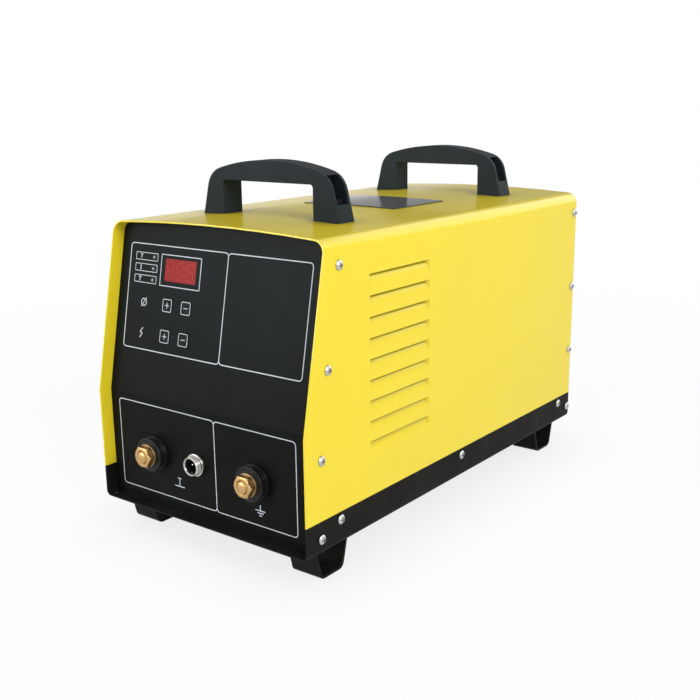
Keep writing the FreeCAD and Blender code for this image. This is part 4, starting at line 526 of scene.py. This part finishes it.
# strokes that cross stand a lift apart, so that no two faces lie in one plane
prints = {"proud": 0.05, "sunk": 0.01, "lift": 0.001, "stagger": 0.01, "line": 0.8, "corner": 3.4,
          "upperFrames": ((-98.0, 11.5, 38.2, 123.6), (10.7, 94.0, 38.4, 123.4)),
          "lowerFrames": ((-98.9, 10.4, 10.6, 85.4), (9.6, 93.0, 10.4, 85.2)),
          "lampFrames": ((-91.2, -65.4, 110.0, 116.4), (-91.2, -65.4, 101.0, 107.4),
                         (-91.2, -65.4, 91.9, 98.3)),
          "lampCorner": 0.8, "lampLine": 0.55,
          "displayFrame": (-61.4, -16.4, 91.4, 116.8), "displayCorner": 0.5, "displayLine": 0.7}
filmFace = case["filmFront"] + prints["sunk"]


def printFrames():
    thick = prints["proud"]
    for name, frames, where in (("upper_frames", prints["upperFrames"], onSlope),
                                ("lower_frames", prints["lowerFrames"], None)):
        bm = bmesh.new()
        for k, sides in enumerate(frames):
            frameLine(bm, *sides, prints["corner"], prints["line"], filmFace, thick - prints["stagger"] * k)
        if where:
            for sides in prints["lampFrames"]:
                frameLine(bm, *sides, prints["lampCorner"], prints["lampLine"], filmFace, thick)
            frameLine(bm, *prints["displayFrame"], prints["displayCorner"], prints["displayLine"],
                      filmFace, thick)
        keep(bm, name, "case", "panel_film", printInk, where)


def pictograms():
    # three kinds of pin beside the lamps, a diameter sign, a voltage bolt, and the two outputs
    signs = {"pinX": -84.6, "pinHalf": 1.5, "pinLine": 0.7, "tipLine": 0.6,
             "pins": ((113.2, 2.6, 0.0), (104.2, 1.6, 1.6), (95.1, 3.2, 0.9)),    # height, cap and tip
             "ring": (-77.5, 76.6, 2.9, 0.7), "slash": (-80.4, 72.9, -74.6, 80.3, 0.6),
             "bolt": ((-76.2, 56.0), (-79.0, 52.2), (-76.2, 51.6), (-79.0, 47.8)), "boltLine": 0.8,
             "pinOnPlate": ((-36.5, 22.3, -25.5, 22.3, 0.9), (-31.0, 22.3, -31.0, 29.1, 0.8),
                            (-32.9, 29.1, -29.1, 29.1, 0.8)), "earthX": 56.0, "earthZ": 23.0}
    depth, thick, lift = filmFace, prints["proud"], prints["lift"]
    bm = bmesh.new()
    x, half, line = signs["pinX"], signs["pinHalf"], signs["pinLine"]
    for z, cap, tip in signs["pins"]:
        bar(bm, x, z - half, x, z + half, line, depth, thick)
        bar(bm, x - cap / 2, z + half, x + cap / 2, z + half, line, depth - lift, thick)
        if tip:
            bar(bm, x - tip / 2, z - half, x + tip / 2, z - half, signs["tipLine"], depth - 2 * lift, thick)
    arc(bm, *signs["ring"], depth, thick)
    bar(bm, *signs["slash"], depth - lift, thick)
    for start, end in zip(signs["bolt"], signs["bolt"][1:]):
        bar(bm, *start, *end, signs["boltLine"], depth - lift, thick)
    keep(bm, "upper_pictograms", "case", "panel_film", printInk, onSlope)
    bm = bmesh.new()
    for k, stroke in enumerate(signs["pinOnPlate"]):
        bar(bm, *stroke, depth - k * lift, thick)
    earthSign(bm, signs["earthX"], signs["earthZ"], depth)
    keep(bm, "lower_pictograms", "case", "panel_film", printInk)


def earthSign(bm, x, z, depth):
    sign = {"stem": 4.6, "halves": (5.0, 3.2, 1.4), "pitch": 2.0, "line": 0.8}
    bar(bm, x, z, x, z + sign["stem"], sign["line"], depth - prints["lift"], prints["proud"])
    for k, half in enumerate(sign["halves"]):
        low = z - sign["pitch"] * k
        bar(bm, x - half, low, x + half, low, sign["line"], depth, prints["proud"])


def rearSign():
    # beside the earth stud, seen from behind
    sign = {"x": -33.0, "z": 31.0}
    bm = bmesh.new()
    earthSign(bm, sign["x"], sign["z"], prints["sunk"] - case["rearFace"])
    keep(bm, "rear_earth_sign", "case", "black_paint", printInk, facingBack)


def keyMarks():
    marks = {"outline": 10.3, "corner": 1.4, "line": 0.55, "arm": 2.3, "stroke": 0.6, "front": 10.1,
             "sides": (("plus", -49.9), ("minus", -28.9)), "rows": (("upper", 76.6), ("lower", 51.9))}
    half, arm, stroke = marks["outline"] / 2, marks["arm"], marks["stroke"]
    depth, thick = marks["front"] + prints["sunk"], prints["proud"]
    for side, x in marks["sides"]:
        for row, z in marks["rows"]:
            bm = bmesh.new()
            frameLine(bm, x - half, x + half, z - half, z + half, marks["corner"], marks["line"], depth,
                      thick)
            bar(bm, x - arm, z, x + arm, z, stroke, depth, thick)
            if side == "plus":
                bar(bm, x, z - arm, x, z + arm, stroke, depth - 2 * prints["lift"], thick)
            keep(bm, f"key_mark_{row}_{side}", f"{row}_{side}_key", "key_plastic", printInk, onSlope)


def displayDigits():
    # three seven-segment figures with their points, seen in the red window
    digit = {"count": 3, "pitch": 11.2, "height": 13.0, "width": 7.0, "stroke": 1.5, "gap": 0.55,
             "slant": 0.1, "x": -39.3, "z": 104.6, "thick": 0.04, "point": (1.1, 2.4, 1.3)}
    bm = bmesh.new()
    half, tall, z = digit["width"] / 2, digit["height"] / 2, digit["z"]
    inset, slant, thick = digit["stroke"] * digit["gap"], digit["slant"], digit["thick"]
    pointStart, pointEnd, pointWidth = digit["point"]
    strokes = [(-half + inset, up, half - inset, up) for up in (-tall, 0, tall)]
    strokes += [(side, up + inset, side, up + tall - inset) for side in (-half, half) for up in (-tall, 0)]
    for k in range(digit["count"]):
        x = digit["x"] + (k - 1) * digit["pitch"]
        for x0, z0, x1, z1 in strokes:
            bar(bm, x + x0 + z0 * slant, z + z0, x + x1 + z1 * slant, z + z1, digit["stroke"], filmFace,
                thick)
        bar(bm, x + half + pointStart, z - tall, x + half + pointEnd, z - tall, pointWidth, filmFace, thick)
    keep(bm, "display_digits", "case", "red_window", digitInk, onSlope)


printFrames()
pictograms()
rearSign()
keyMarks()
displayDigits()
print("prints made")


# the dome and the washer's front edge are given as steps back from the tip or face, with a radius or a cut
terminal = {"gunX": -57.0, "groundX": 52.3, "z": 45.8, "bore": 5.05,
            "stud": 5.0, "front": -5.8, "back": 41.5, "pitch": 1.5, "threadDepth": 0.5,
            "dome": ((0.0, 0.0), (0.06, 1.6), (0.25, 3.0), (0.6, 4.0), (1.0, 4.5)), "domeLength": 1.2,
            "studChamfer": 1.0,
            "flats": 16.0, "nutFront": -4.8, "nutBack": 0.2, "nutFace": 0.47, "nutSink": 0.8,
            "washer": 9.5, "washerFront": 0.3, "washerBack": 2.1, "washerBore": 5.35,
            "washerFrontEdge": ((0.0, 0.5), (0.15, 0.12), (0.5, 0.0)), "washerChamfer": 0.3}


def nutBlank(bm, x, z):
    # a ring turned with 30 degree chamfers at both ends and a countersunk bore, then cut to a hexagon
    flats, bore, sink = terminal["flats"], terminal["bore"], terminal["nutSink"]
    y0, y1 = terminal["nutFront"], terminal["nutBack"]
    face, reach = flats * terminal["nutFace"], flats / 2 / math.cos(math.pi / 6)
    drop = (reach - face) / math.sqrt(3)
    outer = [(y0 + drop * step, face + (reach - face) * step) for step in (0.0, 0.3, 0.65, 1.0)]
    outer += [(y0 + y1 - y, r) for y, r in reversed(outer)]
    inner = [(y1, bore + sink), (y1 - sink, bore), (y0 + sink, bore), (y0, bore + sink)]
    turned(bm, x, z, outer + inner, 72, closed=True)
    hexTrim(bm, x, z, flats)


def terminalPieces():
    z = terminal["z"]
    studs = bmesh.new()
    for side, x in (("gun", terminal["gunX"]), ("ground", terminal["groundX"])):
        bm = bmesh.new()
        nutBlank(bm, x, z)
        keep(bm, f"{side}_terminal_nut", f"{side}_hex", "terminal_brass", replaced=[f"{side}_nut"])
        bm = bmesh.new()
        r, y0, y1 = terminal["washer"], terminal["washerFront"], terminal["washerBack"]
        bore, cut = terminal["washerBore"], terminal["washerChamfer"]
        front = [(y0 + back, r - less) for back, less in terminal["washerFrontEdge"]]
        turned(bm, x, z, [(y0, bore), *front, (y1 - cut, r), (y1, r - cut), (y1, bore)], 64, closed=True)
        # the washer takes the darker brass, painted shade
        keep(bm, f"{side}_terminal_washer", f"{side}_ring", "terminal_brass", shadedBrass,
             replaced=[f"{side}_washer"])
        r, tip, end, cut = terminal["stud"], terminal["front"], terminal["back"], terminal["studChamfer"]
        dome = [(tip + back, radius) for back, radius in terminal["dome"]]
        thread = threaded(tip + terminal["domeLength"], end - cut, r, terminal["pitch"],
                          terminal["threadDepth"])
        turned(studs, x, z, dome + thread + [(end, r - cut), (end, 0.0)], 40)
    keep(studs, "threaded_studs", "case", "terminal_brass", replaced=["terminal_studs"], smooth=25.0)


def insulatorSteps():
    # collar with a shallow dished ring on its face, waist, and a base that sits on the film
    step = {"bore": 5.05, "spigot": 8.0, "front": 2.2, "film": 10.7, "back": 14.5,
            "collar": ((2.2, 9.9), (2.55, 10.2), (2.55, 12.3), (2.2, 12.6), (2.2, 13.2), (2.35, 13.65),
                       (2.7, 13.95), (3.1, 14.0), (4.3, 14.0), (4.6, 13.9), (4.8, 13.6)),
            "waist": ((4.8, 12.7), (4.9, 12.35), (5.2, 12.2), (7.3, 12.2), (7.65, 12.4), (7.8, 12.8)),
            "base": ((7.8, 13.5), (7.95, 14.0), (8.3, 14.25), (8.8, 14.3), (10.7, 14.3))}
    profile = [(step["front"], step["bore"]), *step["collar"], *step["waist"], *step["base"],
               (step["film"], step["spigot"]), (step["back"], step["spigot"]), (step["back"], step["bore"])]
    bm = bmesh.new()
    for x in (terminal["gunX"], terminal["groundX"]):
        turned(bm, x, terminal["z"], profile, 80, closed=True)
    keep(bm, "stepped_insulators", "case", "insulator", replaced=["front_insulators"])


def signalSocket():
    # a threaded shell with a flange, an insert with its key, and two pins
    socket = {"x": -10.0, "z": 45.7, "front": 2.9, "back": 22.5, "radius": 8.0, "bore": 6.2,
              "pitch": 1.0, "depth": 0.35, "runOut": 0.6, "flangeFront": 7.7, "tailFront": 11.0,
              "tailLess": 0.1,
              "flange": ((7.7, 8.6), (7.85, 9.1), (8.2, 9.3), (10.3, 9.3), (10.7, 9.0), (10.7, 7.9)),
              "mouth": ((0.9, 0.0), (0.3, 0.35), (0.0, 0.7)), "mouthRim": 0.75}
    x, z, y0, back, bore = (socket[key] for key in ("x", "z", "front", "back", "bore"))
    bm = bmesh.new()
    thread = threaded(y0 + socket["runOut"], socket["flangeFront"], socket["radius"], socket["pitch"],
                      socket["depth"])
    tail = threaded(socket["tailFront"], back, socket["radius"] - socket["tailLess"], socket["pitch"],
                    socket["depth"])
    mouth = [(back, bore), *((y0 + along, bore + more) for along, more in socket["mouth"]),
             (y0, socket["radius"] - socket["mouthRim"])]
    turned(bm, x, z, [*thread, *socket["flange"], *tail, *mouth], 64, closed=True)
    keep(bm, "threaded_socket", "case", "socket_chrome", replaced=["socket_shell"])

    insert = {"front": 11.9, "gap": 0.05,
              "groove": ((0.0, 0.0), (0.0, 4.4), (-0.5, 4.6), (-0.5, 5.0), (0.0, 5.2), (0.0, 5.55)),
              "lip": ((1.3, 5.7), (1.1, 5.85)),
              "collar": ((0.2, 1.8), (-0.35, 1.7), (-0.35, 1.15), (0.2, 1.15)),
              "keyHalf": 0.9, "keyFront": 1.6, "keyInto": 0.5, "keyLow": 5.8, "keyHigh": 4.6,
              "keyRound": 0.15}
    pin = {"offset": 2.6, "radius": 1.0, "neck": 0.9, "front": 7.5, "back": 26.5, "cup": 3.0,
           "tip": ((0.0, 0.0), (0.1, 0.45), (0.35, 0.8), (0.8, 1.0)), "shoulder": (2.0, 2.2)}
    bm = bmesh.new()
    front, r, lipEnd = insert["front"], bore - insert["gap"], y0 + insert["lip"][-1][0]
    turned(bm, x, z, [*((front + along, radius) for along, radius in insert["groove"]),
                      *((y0 + along, radius) for along, radius in insert["lip"]),
                      (lipEnd, r), (back, r), (back, 0.0)], 48)
    collar = [(front + along, radius) for along, radius in insert["collar"]]
    for side in (-1, 1):
        turned(bm, x + side * pin["offset"], z, collar, 24, closed=True)
    softBox(bm, x - insert["keyHalf"], x + insert["keyHalf"], y0 + insert["keyFront"],
            front + insert["keyInto"], z - insert["keyLow"], z - insert["keyHigh"], insert["keyRound"])
    keep(bm, "socket_insulator", "case", "socket_plastic", replaced=["socket_insert"])

    bm = bmesh.new()
    r, neck, end = pin["radius"], pin["radius"] * pin["neck"], pin["back"]
    tip = [(pin["front"] + along, r * share) for along, share in pin["tip"]]
    shoulder, below = (front + along for along in pin["shoulder"])
    for side in (-1, 1):
        turned(bm, x + side * pin["offset"], z,
               [*tip, (shoulder, r), (below, neck), (end - pin["cup"], neck), (end, neck), (end, 0.0)], 24)
    keep(bm, "rounded_pins", "case", "pin_silver", replaced=["socket_pins"])


def gripRibs():
    # fine ribs across the underside of each grip
    rib = {"underside": 259.3, "proud": 0.55, "into": 0.4, "round": 0.4, "pitch": 3.2, "width": 1.5,
           "count": 27, "half": 8.4, "rows": (("front_grip_ribs", 101.2), ("rear_grip_ribs", 345.8))}
    for name, y in rib["rows"]:
        bm = bmesh.new()
        for k in range(rib["count"]):
            x = (k - (rib["count"] - 1) / 2) * rib["pitch"]
            softBox(bm, x - rib["width"] / 2, x + rib["width"] / 2, y - rib["half"], y + rib["half"],
                    rib["underside"] - rib["proud"], rib["underside"] + rib["into"], rib["round"])
        keep(bm, name, "case", "handle_plastic")


def trayRivets():
    # a rivet's dome low in each front corner of the tray, turned to stand up
    rivet = {"x": 105.4, "y": 6.4, "floor": 1.2, "sunk": 0.2, "radius": 1.9, "crown": 0.8}
    bm = bmesh.new()
    floor, angles = rivet["floor"], [math.radians(degrees) for degrees in range(0, 91, 15)]
    dome = [(floor - rivet["sunk"], 0.0), (floor - rivet["sunk"], rivet["radius"])]
    dome += [(floor + rivet["crown"] * math.sin(a), rivet["radius"] * math.cos(a)) for a in angles]
    for side in (-1, 1):
        turned(bm, side * rivet["x"], -rivet["y"], dome, 24)
    keep(bm, "tray_rivets", "case", "black_paint", agedZinc, Matrix.Rotation(math.pi / 2, 4, "X"))


def rockerMarks():
    # a stroke and a ring on the two halves of the mains rocker, tipped with it
    rocker = {"x": -72.0, "z": 36.0, "pivot": 414.8, "dip": 422.1, "slopeDegrees": 12.26,
              "tiltDegrees": 8.0, "offset": 5.0, "strokeHalf": 1.7, "strokeLine": 0.8, "ring": 1.5,
              "ringLine": 0.7, "sunk": 0.02, "thick": 0.07}
    pivot = Matrix.Translation((rocker["x"], rocker["pivot"], rocker["z"]))
    tipped = pivot @ Matrix.Rotation(-math.radians(rocker["tiltDegrees"]), 4, "X")
    slope = math.radians(rocker["slopeDegrees"])
    rise = rocker["offset"] * math.tan(slope)
    half, depth, thick = rocker["strokeHalf"], rocker["sunk"], rocker["thick"]
    for name, side in (("stroke", 1), ("ring", -1)):
        bm = bmesh.new()
        if name == "stroke":
            bar(bm, 0, -half, 0, half, rocker["strokeLine"], depth, thick)
        else:
            arc(bm, 0, 0, rocker["ring"], rocker["ringLine"], depth, thick)
        onFace = Matrix.Translation((0, rocker["dip"] - rocker["pivot"] + rise, side * rocker["offset"]))
        keep(bm, f"rocker_{name}", "rocker", "rocker_plastic", printInk,
             tipped @ onFace @ Matrix.Rotation(-side * slope, 4, "X") @ facingBack)


terminalPieces()
insulatorSteps()
signalSocket()
gripRibs()
trayRivets()
rockerMarks()
print("terminals, socket, ribs, rivets and rocker marks made")


def woundTransformer():
    # a ring core under overlapped tape: each turn starts low and climbs over the one before
    ring = {"y": 334.0, "inner": 20.05, "outer": 57.9, "low": 3.25, "high": 57.15, "round": 9.0,
            "roundSteps": 5, "cuts": 4, "turns": 64, "lap": 0.55, "samples": 5, "twist": 1.4}
    bm = bmesh.new()
    inner, outer = ring["inner"] + ring["lap"], ring["outer"] - ring["lap"]
    low, high, r = ring["low"] + ring["lap"], ring["high"] - ring["lap"], ring["round"] - ring["lap"]
    angles = [k * math.pi / 2 / ring["roundSteps"] for k in range(ring["roundSteps"] + 1)]
    quarter = [(math.cos(angle), math.sin(angle)) for angle in angles]
    profile = [(outer - r + r * c, high - r + r * s) for c, s in quarter]
    profile += [(inner + r - r * s, high - r + r * c) for c, s in quarter]
    profile += [(inner + r - r * c, low + r - r * s) for c, s in quarter]
    profile += [(outer - r + r * s, low + r - r * c) for c, s in quarter]
    points = [bm.verts.new((across, ring["y"], up)) for across, up in profile]
    edges = [bm.edges.new(pair) for pair in zip(points, points[1:] + points[:1])]
    straight = [edge for edge in edges if edge.calc_length() > r * 0.7]
    bmesh.ops.subdivide_edges(bm, edges=straight, cuts=ring["cuts"])
    bmesh.ops.spin(bm, geom=bm.verts[:] + bm.edges[:], cent=(0, ring["y"], 0), axis=(0, 0, 1),
                   dvec=(0, 0, 0), angle=2 * math.pi, steps=ring["turns"] * ring["samples"], use_merge=True)
    bmesh.ops.remove_doubles(bm, verts=bm.verts, dist=0.0005)
    bmesh.ops.recalc_face_normals(bm, faces=bm.faces)
    bm.normal_update()
    middle = (ring["inner"] + ring["outer"]) / 2, (ring["low"] + ring["high"]) / 2
    for vert, normal in [(v, v.normal.copy()) for v in bm.verts]:
        around = math.atan2(vert.co.y - ring["y"], vert.co.x)
        away = math.hypot(vert.co.x, vert.co.y - ring["y"]) - middle[0]
        aboutCore = math.atan2(vert.co.z - middle[1], away)
        lap = (around * ring["turns"] + aboutCore * ring["twist"]) / (2 * math.pi) % 1.0
        vert.co += normal * ring["lap"] * lap
    keep(bm, "tape_wound_ring", "case", "winding_tape", replaced=["transformer_winding"], smooth=50.0)


def boardParts():
    # parts soldered on the back of the control board, in the frame of the sloping front
    board = {"back": 23.8, "pinCount": 10, "pinPitch": 1.35, "pinRows": (-63.3, -47.0),
             "pin": (1.3, 0.0, 0.8, 71.2, 71.8, 0.1),
             "controller": (-62, -47, 0.3, 2.2, 70, 85, 0.2),
             "drivers": ((-40, -33.6, 0.6, 4.0, 60, 80, 0.3), (-26, -19.6, 0.6, 4.0, 60, 80, 0.3)),
             "headers": ((-90, -70, 0.0, 9.0, 52, 59, 0.6), (-90, -66, 0.0, 9.0, 108, 114, 0.6)),
             "cans": ((-82, 72, 4.0, 9.0), (-82, 84, 4.0, 9.0), (-82, 96, 3.2, 8.0), (-18, 96, 3.2, 8.0)),
             "canBead": ((0.0, 0.3), (0.4, 0.0), (0.9, 0.0), (1.3, 0.35), (1.7, 0.0)),
             "canTop": ((0.4, 0.0), (0.0, 0.5), (0.2, 0.9)),
             "chipColumns": (-60, -54, -48, -42, -36), "chipRows": (92, 97, 102),
             "chip": (3.2, 0.6, 1.6, 0.1)}
    y = board["back"]

    def box(x0, x1, front, back, z0, z1, radius, segments=2):
        softBox(bm, x0, x1, y + front, y + back, z0, z1, radius, segments)

    bm = bmesh.new()
    box(*board["controller"])
    length, front, back, z0, z1, radius = board["pin"]
    for k in range(board["pinCount"]):
        up = k * board["pinPitch"]
        for x in board["pinRows"]:
            box(x, x + length, front, back, z0 + up, z1 + up, radius, 1)
    for sides in (*board["drivers"], *board["headers"]):
        box(*sides)
    keep(bm, "control_board_chips", "case", "switch_plastic", where=onSlope)
    bm = bmesh.new()
    for x, z, r, tall in board["cans"]:
        bead = [(y + along, r - less) for along, less in board["canBead"]]
        top = [(y + tall - along, r - less) for along, less in board["canTop"]]
        turned(bm, x, z, [(y, 0.0), *bead, *top, (top[-1][0], 0.0)], 28)
    keep(bm, "control_board_capacitors", "case", "can_sleeve", where=onSlope)
    bm = bmesh.new()
    length, height, width, radius = board["chip"]
    for z in board["chipRows"]:
        for x in board["chipColumns"]:
            box(x, x + length, 0.0, height, z, z + width, radius, 1)
    keep(bm, "control_board_resistors", "case", "nylon", where=onSlope)


woundTransformer()
boardParts()
print("inner pieces made")


def studioCamera():
    view = {"place": (0.54175, -0.72165, 0.35132), "yaw": 37.683, "pitch": 14.198, "roll": -0.716,
            "lens": 51.96, "sensor": 36.0, "clip": 0.01}
    yaw, pitch, roll = (math.radians(view[k]) for k in ("yaw", "pitch", "roll"))
    ahead = Vector((-math.sin(yaw) * math.cos(pitch), math.cos(yaw) * math.cos(pitch), -math.sin(pitch)))
    right = Vector((math.cos(yaw), math.sin(yaw), 0.0))
    up = right.cross(ahead)
    right, up = (right * math.cos(roll) + up * math.sin(roll), up * math.cos(roll) - right * math.sin(roll))
    data = bpy.data.cameras.new("studio_camera")
    data.lens, data.sensor_width, data.clip_start = view["lens"], view["sensor"], view["clip"]
    camera = bpy.data.objects.new("studio_camera", data)
    scene.collection.objects.link(camera)
    turn = Matrix((right, up, -ahead)).transposed().to_4x4()
    camera.matrix_world = Matrix.Translation(view["place"]) @ turn
    scene.camera = camera


def studioFloor():
    # white paper that shows only a soft shadow near the case, and a painted contact shadow where its own
    # light is dimmed close to the case
    paper = {"reach": 6.0, "shade": (0.92, 0.92, 0.92), "roughness": 0.9, "shadow": 0.07,
             "shadowNear": 0.5, "shadowFar": 1.2, "paintedContactShadow": 0.15, "contactShadowReach": 0.07}
    bm = bmesh.new()
    bmesh.ops.create_circle(bm, cap_ends=True, segments=96, radius=paper["reach"])
    finish = Finish("floor_paper", paper["shade"], paper["roughness"])
    away = finish.add("ShaderNodeVectorMath", {"operation": "LENGTH"}, {0: finish.place}, "Value")
    near = 1 - finish.ramp(away * 0.5, paper["shadowNear"] / 2, paper["shadowFar"] / 2)
    # painted shadow: the paper's own light is dimmed where the case is close
    strength = 1 - (1 - finish.openness(paper["contactShadowReach"], 8)) * paper["paintedContactShadow"]
    white = finish.add("ShaderNodeEmission", {}, {"Color": (1.0, 1.0, 1.0, 1.0), "Strength": strength})
    share = finish.seenRays() * (1 - near * paper["shadow"])
    finish.show(finish.add("ShaderNodeMixShader", {}, {0: share, 1: finish.shader, 2: white}))
    meshObject(bm, "studio_floor", finish.material)


def greyCard():
    # a card behind the case, out of the camera's sight, that the glossy top shows
    card = {"place": (-1.5, 1.7, 1.06), "aim": (0, 0, 0.3), "width": 3.4, "height": 1.3,
            "shade": (0.34, 0.34, 0.34), "roughness": 0.9}
    bm = bmesh.new()
    facing = (Vector(card["aim"]) - Vector(card["place"])).to_track_quat("Z", "Y").to_matrix().to_4x4()
    size = Matrix.Diagonal((card["width"] / 2, card["height"] / 2, 1.0, 1.0))
    bmesh.ops.create_grid(bm, x_segments=1, y_segments=1, size=1.0,
                          matrix=Matrix.Translation(card["place"]) @ facing @ size)
    felt = Finish("card_felt", card["shade"], card["roughness"])
    sheet = meshObject(bm, "grey_card", felt.material)
    sheet.visible_camera = False


def studioWorld():
    # full white where it is seen, weaker as a light
    sky = {"fill": 0.22, "shown": 1.0}
    scene.world = bpy.data.worlds.new("studio_world")
    scene.world.use_nodes = True
    web = NodeWeb(scene.world.node_tree)
    strength = web.add("ShaderNodeMapRange", {}, {"Value": web.seenRays(), "To Min": sky["fill"],
                                                  "To Max": sky["shown"]})
    white = web.add("ShaderNodeBackground", {}, {"Color": (1.0, 1.0, 1.0, 1.0), "Strength": strength})
    web.add("ShaderNodeOutputWorld", {}, {"Surface": white})


def softboxes():
    # place, width, height and power of each lamp; all of them face the case
    lamps = {"right_softbox": ((2.1, -0.8, 1.45), 1.3, 0.9, 39.5),
             "left_softbox": ((-1.3, -2.3, 0.85), 1.5, 1.2, 38.0),
             "back_softbox": ((0.5, 2.7, 1.4), 2.6, 2.0, 28.0),
             "far_softbox": ((-2.7, 0.4, 1.1), 2.2, 1.8, 24.0)}
    aim = Vector((0, 0, 0.15))
    for name, (place, width, height, power) in lamps.items():
        data = bpy.data.lights.new(name, "AREA")
        data.shape, data.size, data.size_y, data.energy = "RECTANGLE", width, height, power
        light = bpy.data.objects.new(name, data)
        scene.collection.objects.link(light)
        light.location = place
        light.rotation_euler = (aim - Vector(place)).to_track_quat("-Z", "Y").to_euler()


studioCamera()
studioFloor()
greyCard()
studioWorld()
softboxes()
print("camera, floor and light set")
